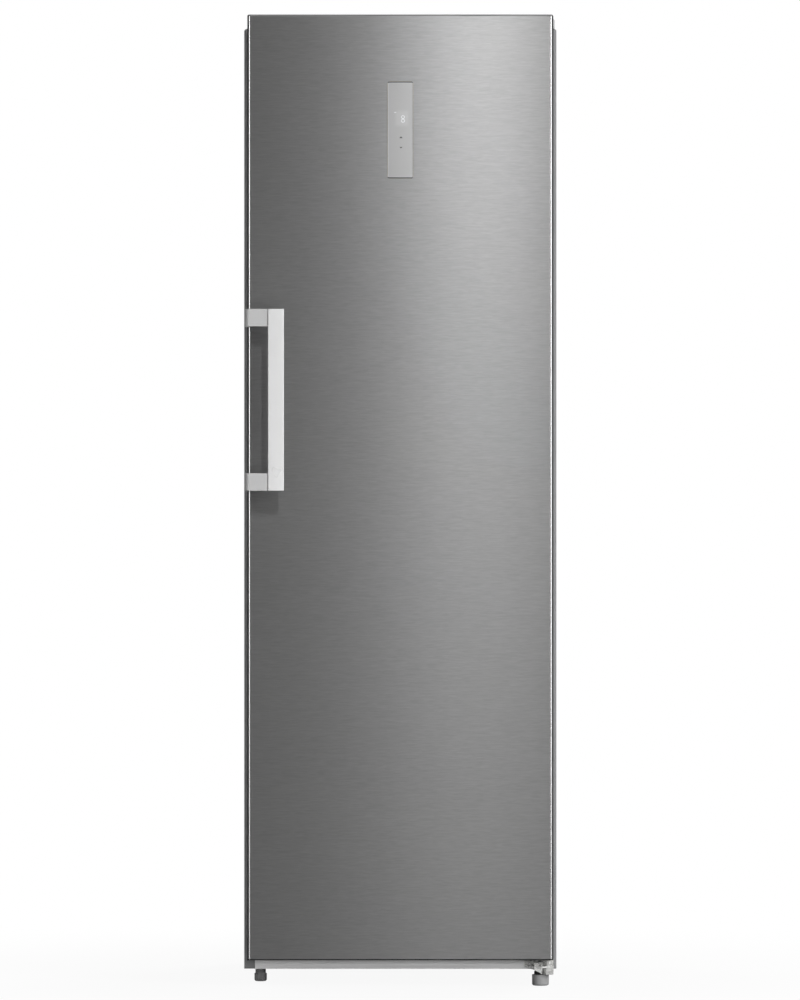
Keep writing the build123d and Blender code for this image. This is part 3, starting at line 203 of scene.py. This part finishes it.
# Front rail. A folded strip of plain steel under the door, screwed on the runners' front ends. It is
# lacquered over a rolled finish, so long level streaks run along it.
def rolled(name, colour, roughness, streaks, metallic):
    """Rolled or drawn metal: a pattern with this number of streaks per metre along each axis, in the
    colour, in the roughness by 0.06 both ways, and in a faint relief."""
    material = finish(name, colour, roughness, metallic)
    lines = noise(material, streaks, detail=3.0)
    tint(material, lines, colour, 0.93, 1.06)
    gloss(material, lines, roughness - 0.06, roughness + 0.06)
    relief(material, lines, depth=0.00005, strength=0.4)
    return material


# Partly painted reflection: the light steel's colour is raised near white for the bright floor it would
# mirror.
rail_steel = rolled("rail_steel", (0.94, 0.94, 0.94), 0.42, streaks=(6.0, 300.0, 300.0), metallic=0.05)
dress(rail_steel, "front_rail")


# Feet and rollers. The two levelling feet screw up and down in the left runner and in the lower hinge
# bracket; the rollers turn on axles at the back. All are dark grey glass-filled nylon, matt and cloudy.
foot_plastic = moulded("foot_plastic", (0.30, 0.30, 0.302), 0.42, grain=1400.0, depth=0.00015, spread=0.08)
dress(foot_plastic, "foot_left", "foot_right", "roller_left", "roller_right")


# Compressor. A welded steel can with black baking enamel on rubber spools, with its relay under a plastic
# cover and a tray on top, in which the warm can dries the defrost water.
can_black = (0.018, 0.018, 0.019)
compressor_black = moulded("compressor_black", can_black, 0.33, grain=350.0, depth=0.0003, spread=0.2)
dress(compressor_black, "compressor")
# Black rubber; the same material also darkens the right foot's neck as painted shade.
rubber_black = moulded("rubber_black", (0.022, 0.022, 0.022), 0.72, grain=1600.0, depth=0.0002, spread=0.15)
dress(rubber_black, "compressor_mounts", "cord_gland")
black_plastic = moulded("black_plastic", (0.03, 0.03, 0.031), 0.5, grain=1800.0, depth=0.00012, spread=0.08)
dress(black_plastic, "relay_cover", "evaporation_pan")


# Refrigerant pipes and filter drier. Drawn copper tube, brazed together and into the compressor's stubs,
# which leaves it patchy: bright where it was wiped, brown and dull where it was hot.
copper_red = (0.62, 0.29, 0.17)
copper = finish("copper", copper_red, 0.34, metallic=1.0)
patches = noise(copper, (70.0, 70.0, 45.0), detail=4.0)
tint(copper, patches, copper_red, 0.45, 1.15)
gloss(copper, patches, 0.5, 0.24)
dress(copper, "refrigerant_pipes", "filter_drier")


# Hinges. Both brackets are pressed from 3 mm steel and zinc plated, like their pins, screws and lock nut
# and the rollers' axles: bright but uneven, with a faint mill grain beneath. The pins turn in white nylon
# bushes, and a grey moulding covers the upper bracket.
plating_grey = (0.80, 0.80, 0.78)
zinc_steel = finish("zinc_steel", plating_grey, 0.3, metallic=0.4)
blotches = noise(zinc_steel, 120.0, detail=4.0)
tint(zinc_steel, blotches, plating_grey, 0.78, 1.15)
gloss(zinc_steel, blotches, 0.22, 0.42)
relief(zinc_steel, noise(zinc_steel, 700.0), depth=0.0001, strength=0.6)
dress(zinc_steel, "bottom_hinge_bracket", "bottom_hinge_pin", "top_hinge_bracket", "top_hinge_pin")
dress(zinc_steel, "hinge_fasteners", "roller_axles")
nylon = moulded("nylon", (0.72, 0.72, 0.68), 0.42, grain=900.0, depth=0.00008)
dress(nylon, "hinge_bushes")
cover_grey = moulded("cover_grey", (0.52, 0.52, 0.525), 0.45, grain=1500.0, depth=0.00012)
dress(cover_grey, "hinge_cover")


# Liner. One sheet of white polystyrene drawn by vacuum into the cabinet and another over the door's back,
# both with rigid foam poured behind them, and a third over the air duct. They are glossy and a little wavy.
polystyrene = (0.83, 0.84, 0.85)
liner_white = finish("liner_white", polystyrene, 0.375)
waves = noise(liner_white, 14.0, detail=1.0)
tint(liner_white, waves, polystyrene, 0.985, 1.01)
gloss(liner_white, waves, 0.36, 0.39)
relief(liner_white, waves, depth=0.0002, strength=0.1)
dress(liner_white, "liner", "door_liner", "air_duct_cover")
foam = moulded("foam", (0.78, 0.68, 0.42), 0.9, grain=700.0, depth=0.0006, spread=0.1)
dress(foam, "insulation", "door_insulation")


# Shelves. Toughened float glass, green at the cut edges, lying on the liner's ledges, with white rims
# clipped on in front and stops behind. The two drawer covers are the same glass.
shelf_glass = finish("shelf_glass", (0.86, 0.95, 0.92), 0.03)
settle(shelf_glass, {"Transmission Weight": 1.0, "IOR": 1.52})
gloss(shelf_glass, noise(shelf_glass, 25.0, detail=3.0), 0.0, 0.06)
dress(shelf_glass, "divider_glass", "crisper_cover_glass")
dress(shelf_glass, *[f"shelf_glass_{number}" for number in range(1, 6)])
trim_white = moulded("trim_white", (0.8, 0.81, 0.82), 0.3, grain=900.0, depth=0.00006, spread=0.02)
dress(trim_white, "shelf_trims")


# Drawers and door bins. All are injection moulded in clear polystyrene, which is a little blue-grey in the
# thickness and scuffed where things stand and slide.
clear_plastic = finish("clear_plastic", (0.88, 0.93, 0.95), 0.09)
settle(clear_plastic, {"Transmission Weight": 0.92, "IOR": 1.49})
gloss(clear_plastic, noise(clear_plastic, 60.0, detail=5.0), 0.02, 0.16)
dress(clear_plastic, "crisper_upper", "crisper_lower")
dress(clear_plastic, *[f"door_balcony_{number}" for number in range(1, 6)])


# Fan, evaporator and lamp. The duct on the back wall hides a finned aluminium coil and a small axial fan in
# natural plastic; a frosted lens under the ceiling covers the lamp.
fins = (0.72, 0.72, 0.73)
fin_aluminium = rolled("fin_aluminium", fins, 0.36, streaks=(400.0, 30.0, 30.0), metallic=0.95)
dress(fin_aluminium, "evaporator")
fan_plastic = moulded("fan_plastic", (0.5, 0.5, 0.49), 0.45, grain=1000.0, depth=0.0001)
dress(fan_plastic, "fan_motor", "fan_impeller")
lamp_plastic = moulded("lamp_plastic", (0.9, 0.9, 0.88), 0.42, grain=1200.0, depth=0.0002, spread=0.02)
settle(lamp_plastic, {"Transmission Weight": 0.25})
dress(lamp_plastic, "lamp_lens")


# Door skin. One sheet of stainless steel, brushed level and sealed with a clear film against finger marks,
# folded round the foam. The brushing draws each light out into a tall soft glow. Along both upright folds
# the sheet is smoother, and its colour there is raised near white: a painted highlight that brightens the
# strip lamps' reflection. The sides past the folds are painted darker, as shade in the gap by the cabinet.
def maths(owner, operation, *parts, **choices):
    """The value that the operation makes of its parts, each an output or a number."""
    values = {place: part for place, part in enumerate(parts) if isinstance(part, float)}
    wires = {place: part for place, part in enumerate(parts) if not isinstance(part, float)}
    return add_node(owner, "Math", values, wires, operation=operation, **choices).outputs["Value"]


def brushed_level(material, pull):
    """The strokes follow circles round the upright axis, and the gloss is drawn out across them by the
    pull, from 0, not at all, to 1."""
    strokes = add_node(material, "Tangent", direction_type="RADIAL", axis="Z")
    feed(material, "Tangent", strokes.outputs["Tangent"])
    settle(material, {"Anisotropic": pull, "Anisotropic Rotation": 0.25})


def place_along(material):
    """A point's place along each axis, as the outputs X, Y and Z."""
    place = add_node(material, "TexCoord").outputs["Object"]
    return add_node(material, "SeparateXYZ", wires={"Vector": place}).outputs


skin_grey = (0.50, 0.50, 0.50)
fold_highlight_grey = (0.92, 0.92, 0.92)
side_shade_grey = (0.26, 0.26, 0.26)
skin_roughness, fold_roughness = 0.538, 0.22
door_side = door_high.x
brushed_door = finish("brushed_door", skin_grey, skin_roughness, metallic=0.85)
brushed_level(brushed_door, pull=0.996)
strokes = noise(brushed_door, (55.0, 55.0, 620.0))
scratches = noise(brushed_door, (38.0, 38.0, 400.0), detail=1.0)
marks = ramp(brushed_door, strokes, 0.25, 0.75, noise_low, noise_high)
for start, end, change in ((0.60, 0.74, 0.28), (0.40, 0.26, -0.28)):
    marks = maths(brushed_door, "ADD", ramp(brushed_door, scratches, start, end, 0.0, change), marks)
skin_colour = tint(brushed_door, marks, skin_grey, 0.94, 1.06)
relief(brushed_door, strokes, depth=0.00003, strength=0.3)

aside = maths(brushed_door, "ABSOLUTE", place_along(brushed_door)["X"])
fold_begins = ramp(brushed_door, aside, door_side - 0.0066, door_side - 0.0054)
fold_lasts = ramp(brushed_door, aside, door_side - 0.0024, door_side - 0.0034)
fold = maths(brushed_door, "MULTIPLY", fold_begins, fold_lasts)
# Painted shade: past the folds the skin's sides are darkened as the shadow in the gap beside the cabinet.
side_shade = ramp(brushed_door, aside, door_side - 0.0026, door_side - 0.0014)
skin_colour = blend_colours(brushed_door, side_shade, skin_colour, side_shade_grey)
# Painted highlight: the fold's colour is raised near white so that the strips' reflection there is
# brighter.
skin_colour = blend_colours(brushed_door, fold, skin_colour, fold_highlight_grey)
feed(brushed_door, "Base Color", skin_colour)
feed(brushed_door, "Roughness", ramp(brushed_door, fold, 0.0, 1.0, skin_roughness, fold_roughness))
dress(brushed_door, "door_skin")


# Door caps. Two grey mouldings close the folded skin above and below; they hold the hinge bushes, and the
# upper one has a raised lip along the door's front. The lower one is painted nearly black: painted shade
# under the door's bottom edge.
cap_grey = moulded("cap_grey", (0.22, 0.22, 0.222), 0.4, grain=1500.0, depth=0.0001)
dress(cap_grey, "door_top_cap")
# Painted shade: the lower cap is darkened for the shadow beneath the door.
cap_painted_shade = moulded("cap_painted_shade", (0.02, 0.02, 0.02), 0.5, grain=1500.0, depth=0.0001)
dress(cap_painted_shade, "door_bottom_cap")


# Door seal. A soft grey extrusion pressed into the liner's groove: a foot, two folds that let it squeeze
# flat, and a chamber with the magnet strip that draws it to the cabinet's frame. Its corners are welded.
def mesh_object(name, points, faces, material):
    """An object at the origin, whose mesh is an array of points and a list or array of faces."""
    mesh = bpy.data.meshes.new(name)
    mesh.from_pydata(np.asarray(points).tolist(), [], [list(map(int, face)) for face in faces])
    mesh.materials.append(material)
    made = bpy.data.objects.new(name, mesh)
    scene.collection.objects.link(made)
    return made


def mesh_piece(name, points, faces, material, body):
    """A mesh object that rides on a CAD body."""
    piece = mesh_object(name, points, faces, material)
    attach(piece, body)
    return piece


def wrap(rows, columns, closed_rows, closed_columns):
    """Four-cornered faces over a grid of points, row after row; a closed way joins its last line to its
    first."""
    row = np.arange(rows if closed_rows else rows - 1)
    column = np.arange(columns if closed_columns else columns - 1)
    row, column = np.meshgrid(row, column, indexing="ij")
    next_row, next_column = (row + 1) % rows, (column + 1) % columns
    corners = [row * columns + column, row * columns + next_column]
    corners += [next_row * columns + next_column, next_row * columns + column]
    return np.stack([corner.ravel() for corner in corners], axis=1)


def mitred_frame(profile, low, high):
    """A profile carried round the rectangle between two corners: each of its points is pushed out past the
    four sides, along X and Z, by its first number, and stands at its second number along Y."""
    turn = np.array([(-1, -1), (1, -1), (1, 1), (-1, 1)])
    middle = np.array([low.x + high.x, low.z + high.z]) / 2
    half = np.array([high.x - low.x, high.z - low.z]) / 2
    flat = middle + turn[:, None, :] * (half + profile[None, :, :1])
    depth = np.broadcast_to(profile[:, 1], flat.shape[:2])
    return np.stack([flat[..., 0], depth, flat[..., 1]], axis=-1).reshape(-1, 3)


seal_low, seal_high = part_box("door_gasket")
seal_profile = np.array(
    [
        (-0.0110, 0.0000), (0.0000, 0.0000), (0.0000, 0.0014), (-0.0014, 0.0032), (-0.0002, 0.0050),
        (-0.0010, 0.0070), (-0.0001, 0.0078), (0.0000, 0.0112), (-0.0005, 0.0118), (-0.0052, 0.0117),
        (-0.0058, 0.0117), (-0.0105, 0.0118), (-0.0110, 0.0112), (-0.0109, 0.0078), (-0.0100, 0.0070),
        (-0.0108, 0.0050), (-0.0096, 0.0032), (-0.0110, 0.0014),
    ]
)
seal_profile[:, 1] += seal_high.y - seal_profile[:, 1].max()
seal_grey = moulded("seal_grey", (0.30, 0.305, 0.31), 0.62, grain=1100.0, depth=0.00012, spread=0.05)
settle(seal_grey, {"Sheen Weight": 0.15})
points = mitred_frame(seal_profile, seal_low, seal_high)
faces = wrap(4, len(seal_profile), True, True)
seal = mesh_piece("door_seal", points, faces, seal_grey, "door")
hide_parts("door_gasket")
dress(seal_grey, "door_gasket")


# Neck shade. A short black ring round the right foot's neck, below the hinge bracket, is painted shade: it
# stands for the deep shadow under the bracket. It rides on the foot and turns with it.
def turned(profile, middle, steps):
    """A ring turned round an upright line: each point of the closed profile stands at its radius times the
    cosine and the sine of an angle that runs once round, and at its own height."""
    angle = np.linspace(0, 2 * np.pi, steps, endpoint=False)[:, None]
    radius, height = np.array(profile).T
    x = middle[0] + radius * np.cos(angle)
    y = middle[1] + radius * np.sin(angle)
    return np.stack([x, y, np.broadcast_to(height, x.shape)], axis=-1).reshape(-1, 3)


foot_low, foot_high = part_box("foot_right")
foot_middle = ((foot_low.x + foot_high.x) / 2, (foot_low.y + foot_high.y) / 2)
neck_shade_steps = 48
neck_shade_profile = [
    (0.01095, 0.0211), (0.0120, 0.0211), (0.0125, 0.0216), (0.0118, 0.0228), (0.0124, 0.0240),
    (0.0118, 0.0252), (0.0122, 0.0264), (0.0119, 0.0272), (0.01095, 0.0272),
]
points = turned(neck_shade_profile, foot_middle, neck_shade_steps)
faces = wrap(neck_shade_steps, len(neck_shade_profile), True, True)
neck_shade = mesh_piece("foot_neck_shade", points, faces, rubber_black, "foot_right")
neck_shade.data.shade_smooth()


# Touch panel. A sheet of tinted glass let into the skin, printed grey behind, with the display's light
# coming through: one digit, a lamp beside it and a degree sign. Two dark arrows change the setting.
corner_steps, edge_steps = 6, 5


def outline(half, corner, inset):
    """A rectangle with rounded corners, drawn in on all sides by the inset: each point is the half size
    less the corner's radius, with the quarter's sign, plus the radius less the inset times the cosine and
    the sine of an angle that runs through that quarter."""
    turn = np.linspace(0, np.pi / 2, corner_steps)
    angle = (np.arange(4)[:, None] * np.pi / 2 + turn).ravel()
    quarter = np.repeat(np.array([(1, 1), (-1, 1), (-1, -1), (1, -1)]), corner_steps, axis=0)
    circle = np.stack([np.cos(angle), np.sin(angle)], axis=1)
    return quarter * (np.asarray(half) - corner) + circle * (corner - inset)


def rounded_block(low, high, corner, edge, axis):
    """A block between two corners with a rounded outline. Towards both ends of the axis the outline is
    drawn in by edge * (1 - cos) while it nears the end by edge * sin of an angle from nothing to a quarter
    turn. Along Y the outline runs the other way round, so those faces are turned."""
    sides = [side for side in range(3) if side != axis]
    low, high = np.array(low, float), np.array(high, float)
    middle, half = (low + high) / 2, (high - low) / 2
    bend = np.linspace(0, np.pi / 2, edge_steps)
    drawn = edge * (1 - np.cos(bend))
    rise = half[axis] - edge + edge * np.sin(bend)
    inset = np.concatenate([drawn[::-1], drawn])[:, None, None]
    rows, around = 2 * edge_steps, 4 * corner_steps
    points = np.empty((rows, around, 3))
    points[:, :, sides] = middle[sides] + outline(half[sides], corner, inset)
    points[:, :, axis] = middle[axis] + np.concatenate([-rise[::-1], rise])[:, None]
    last = (rows - 1) * around
    ends = [list(range(around))[::-1], list(range(last, last + around))]
    faces = wrap(rows, around, False, True).tolist() + ends
    if axis == 1:
        faces = [face[::-1] for face in faces]
    return points.reshape(-1, 3), faces


def smooth_piece(name, block, material, body):
    """A mesh piece whose four-cornered faces are shaded smooth and whose flat ends stay crisp."""
    points, faces = block
    piece = mesh_piece(name, points, faces, material, body)
    piece.data.polygons.foreach_set("use_smooth", [len(face) == 4 for face in faces])
    return piece


panel_low, panel_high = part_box("control_panel")
panel_face, panel_top = panel_low.y, panel_high.z
print_grey, window_grey = (0.56, 0.56, 0.56), (0.62, 0.62, 0.62)
window_fade = 0.005
panel_grey = finish("panel_grey", print_grey, 0.5, metallic=0.62)
brushed_level(panel_grey, pull=0.99)
window = []
for axis, middle, half in (("X", 0.0030, 0.0120), ("Z", panel_top - 0.0700, 0.0140)):
    away = maths(panel_grey, "SUBTRACT", place_along(panel_grey)[axis], middle)
    distance = maths(panel_grey, "ABSOLUTE", away)
    outer, inner = half + window_fade, half - window_fade
    window.append(ramp(panel_grey, distance, outer, inner, interpolation_type="SMOOTHSTEP"))
lit = maths(panel_grey, "MULTIPLY", *window)
feed(panel_grey, "Base Color", blend_colours(panel_grey, lit, print_grey, window_grey))
block = rounded_block(panel_low, panel_high, corner=0.0028, edge=0.0002, axis=1)
glass = smooth_piece("panel_glass", block, panel_grey, "door")
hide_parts("control_panel")
dress(panel_grey, "control_panel")

panel_half = np.array([panel_high.x - panel_low.x, panel_high.z - panel_low.z]) / 2
panel_middle = np.array([panel_high.x + panel_low.x, panel_high.z + panel_low.z]) / 2
shade_proud, print_proud = 0.00003, 0.00004
ring_steps = 40
# Painted shade: a dark ring round the panel's edge, widest at top and bottom, stands for the gap and dark
# bevel.
ring_shade_grey = finish("ring_shade_grey", (0.10, 0.10, 0.10), 0.4)
shade_out = outline(panel_half - (0.0001, 0.0003), corner=0.0026, inset=0.0)
shade_in = outline(panel_half - (0.0004, 0.0022), corner=0.0022, inset=0.0)
x, z = (np.concatenate([shade_out, shade_in]) + panel_middle).T
points = np.stack([x, np.full_like(x, panel_face - shade_proud), z], axis=1)
faces = wrap(2, 4 * corner_steps, False, True)
mesh_piece("panel_shade_ring", points, faces, ring_shade_grey, "door")


def printed_ring(name, aside, below, outer, inner, material):
    """A flat ring on the panel's face. Its middle lies aside from the panel's middle and below its top, and
    each point is that middle plus the outer or the inner radius times the cosine along X and the sine
    along Z of an angle that runs once round."""
    angle = np.linspace(0, 2 * np.pi, ring_steps, endpoint=False)
    radius = np.array([outer, inner])[:, None]
    x = aside + radius * np.cos(angle)
    z = panel_top - below + radius * np.sin(angle)
    points = np.stack([x, np.full_like(x, panel_face - print_proud), z], axis=-1).reshape(-1, 3)
    mesh_piece(name, points, wrap(2, ring_steps, False, True), material, "door")


def printed_patch(name, corners, material):
    """A flat patch on the panel's face, each corner aside from the panel's middle and below its top."""
    points = [(aside, panel_face - print_proud, panel_top - below) for aside, below in corners]
    mesh_piece(name, points, [range(len(corners))], material, "door")


def printed_bar(name, left, right, bottom, top, material):
    """A flat upright rectangle on the panel's face, its bottom and top measured below the panel's top."""
    printed_patch(name, [(left, bottom), (right, bottom), (right, top), (left, top)], material)


# Painted highlight: a light strip down the panel's left edge, where its rounded rim would catch the light.
edge_highlight_white = finish("edge_highlight_white", (0.74, 0.74, 0.74), 0.35)
printed_bar("panel_edge_highlight", -0.0236, -0.0227, 0.1810, 0.0030, edge_highlight_white)
display_white = finish("display_white", (0.86, 0.87, 0.88), 0.4)
settle(display_white, {"Emission Color": (0.95, 0.97, 1.0, 1.0), "Emission Strength": 0.12})
display_faint = finish("display_faint", (0.66, 0.66, 0.66), 0.4)
printed_ring("digit_upper_loop", 0.0050, 0.0676, 0.0034, 0.0022, display_white)
printed_ring("digit_lower_loop", 0.0050, 0.0744, 0.0036, 0.0024, display_white)
printed_ring("degree_ring", 0.0130, 0.0660, 0.0013, 0.0007, display_faint)
printed_bar("degree_bar", 0.0118, 0.0142, 0.0698, 0.0690, display_faint)
printed_bar("lamp_mark", -0.0113, -0.0080, 0.0594, 0.0582, display_white)
print_dark = finish("print_dark", (0.035, 0.035, 0.035), 0.35)
printed_patch("arrow_up", [(-0.0018, 0.1075), (0.0042, 0.1075), (0.0012, 0.1041)], print_dark)
printed_patch("arrow_down", [(-0.0014, 0.1242), (0.0012, 0.1270), (0.0038, 0.1242)], print_dark)


# Handle. A flat extruded bar of satin anodised aluminium, screwed from behind to two cast brackets that
# wrap round the door's left edge; dark caps cover the screws that go into the door's side.
handle_metal = moulded(
    "handle_metal", (0.84, 0.84, 0.84), 0.3, grain=1500.0, depth=0.00005, spread=0.012, metallic=0.12
)
block = rounded_block(*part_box("handle_bar"), corner=0.0016, edge=0.0012, axis=2)
bar = smooth_piece("handle_grip", block, handle_metal, "door")
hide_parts("handle_bar")
dress(handle_metal, "handle_bar")
bracket_metal = moulded("bracket_metal", (0.54, 0.54, 0.54), 0.46, grain=1200.0, depth=0.0001, spread=0.03)
soft_edges(bracket_metal, 0.0016)
dress(bracket_metal, "handle_bracket_upper", "handle_bracket_lower")
dress(black_plastic, "handle_screw_caps")


# Studio. A white floor under a white surround. Broad lamps on the right and behind light matt surfaces; a
# small one glows in the brushed steel, and tall strips on both sides draw the door's edges. Dark screens
# close the room for reflections alone, as they do round shiny goods.
def seen_as_white(owner):
    """One for the rays that come from the camera, from a reflection or through glass, and else nothing."""
    ray = add_node(owner, "LightPath").outputs
    seen = maths(owner, "ADD", ray["Is Camera Ray"], ray["Is Glossy Ray"])
    return maths(owner, "ADD", seen, ray["Is Transmission Ray"], use_clamp=True)


def show(owner, share, matt, white, end):
    """At the owner's end node, the matt shader gives way to the white one by the share."""
    mix = add_node(owner, "MixShader", wires={"Fac": share, 1: matt, 2: white})
    owner.node_tree.links.new(mix.outputs["Shader"], owner.node_tree.nodes[end].inputs["Surface"])


def disc(radius, rings, spokes):
    """A level disc: each point lies at a share of the radius, at an angle round the middle."""
    spoke = np.linspace(0, 2 * np.pi, spokes, endpoint=False)
    share, angle = np.meshgrid(np.linspace(0, 1, rings), spoke, indexing="ij")
    x = radius * share * np.cos(angle)
    y = radius * share * np.sin(angle)
    return np.stack([x, y, np.zeros_like(x)], axis=-1).reshape(-1, 3)


floor_radius, floor_rings, floor_spokes = 9.0, 12, 64
shadow_reach, white_reach = 0.35, 1.6
floor_white = finish("floor_white", (0.62, 0.62, 0.62), 0.9)
settle(floor_white, {"Specular IOR Level": 0.0})
place = add_node(floor_white, "TexCoord").outputs["Object"]
reach = add_node(floor_white, "VectorMath", wires={0: place}, operation="LENGTH").outputs["Value"]
fade = ramp(floor_white, reach, shadow_reach, white_reach, 0.93, 1.0, interpolation_type="SMOOTHSTEP")
share = maths(floor_white, "MULTIPLY", fade, seen_as_white(floor_white))
white = add_node(floor_white, "Emission").outputs["Emission"]
show(floor_white, share, surface_of(floor_white).outputs["BSDF"], white, "Material Output")
points = disc(floor_radius, floor_rings, floor_spokes)
floor = mesh_object("floor", points, wrap(floor_rings, floor_spokes, False, True), floor_white)

screen_black = finish("screen_black", (0.02, 0.02, 0.02), 1.0)
near, back, wide, high, low = -6.0, 6.0, 4.4, 6.5, 0.001
screens = {
    "screen_floor": [(-wide, near, low), (-wide, back, low), (wide, back, low), (wide, near, low)],
    "screen_front": [(-wide, near, 0.0), (wide, near, 0.0), (wide, near, high), (-wide, near, high)],
    "screen_back": [(-wide, back, 0.0), (wide, back, 0.0), (wide, back, high), (-wide, back, high)],
    "screen_roof": [(-wide, near, high), (wide, near, high), (wide, back, high), (-wide, back, high)],
    "screen_left": [(-wide, near, 0.0), (-wide, back, 0.0), (-wide, back, high), (-wide, near, high)],
    "screen_right": [(wide, near, 0.0), (wide, back, 0.0), (wide, back, high), (wide, near, high)],
}
for name, corners in screens.items():
    screen = mesh_object(name, corners, [range(4)], screen_black)
    screen.visible_camera = False
    screen.visible_diffuse = False
    screen.visible_transmission = False
    screen.visible_shadow = False


def lamp(name, place, target, size, power, lights):
    """A rectangular lamp of this width and height in metres and this power in watts, tipped up from
    straight down and turned round until it faces the target; it lights matt surfaces or shiny ones."""
    light = bpy.data.lights.new(name, "AREA")
    light.shape = "RECTANGLE"
    light.size, light.size_y = size
    light.energy = power
    x, y, z = np.array(target, float) - np.array(place, float)
    made = bpy.data.objects.new(name, light)
    made.location = place
    made.rotation_euler = (np.arctan2(np.hypot(x, y), -z), 0, np.arctan2(y, x) - np.pi / 2)
    made.visible_camera = False
    made.visible_diffuse = lights == "matt"
    made.visible_glossy = lights == "shiny"
    scene.collection.objects.link(made)


lamp("key", (7.0, -6.3, 4.2), (0, 0, 0.95), (4.0, 4.0), 730.0, "matt")
lamp("low", (0.4, -2.6, 0.35), (0, -0.25, 0.05), (2.4, 0.3), 14.5, "matt")
lamp("rear", (3.6, 5.4, 3.6), (0, 0.3, 0.9), (3.0, 3.0), 380.0, "matt")
lamp("rear_left", (-5.0, 4.4, 3.0), (0, 0.1, 0.9), (3.0, 3.0), 200.0, "matt")
lamp("glow", (0.176, -1.797, 2.352), (0.176, -0.3, 1.1), (0.06, 0.2), 9.6, "shiny")
lamp("strip_left", (-2.1, -3.6, 1.5), (-0.3, -0.3, 1.0), (1.2, 5.0), 48.0, "shiny")
lamp("strip_right", (2.2, -3.2, 1.5), (0.3, -0.3, 1.0), (2.0, 5.0), 60.0, "shiny")
lamp("side_left", (-4.3, -0.3, 1.6), (0, -0.3, 1.0), (0.8, 3.0), 8.0, "shiny")

world = bpy.data.worlds.new("surround")
world.use_nodes = True
scene.world = world
plain_white = (1.0, 1.0, 1.0, 1.0)
room = world.node_tree.nodes["Background"]
room.inputs["Color"].default_value = plain_white
room.inputs["Strength"].default_value = 0.16
surround = add_node(world, "Background", {"Color": plain_white, "Strength": 1.0})
dim, bright = room.outputs["Background"], surround.outputs["Background"]
show(world, seen_as_white(world), dim, bright, "World Output")

scene.view_settings.view_transform = "Standard"
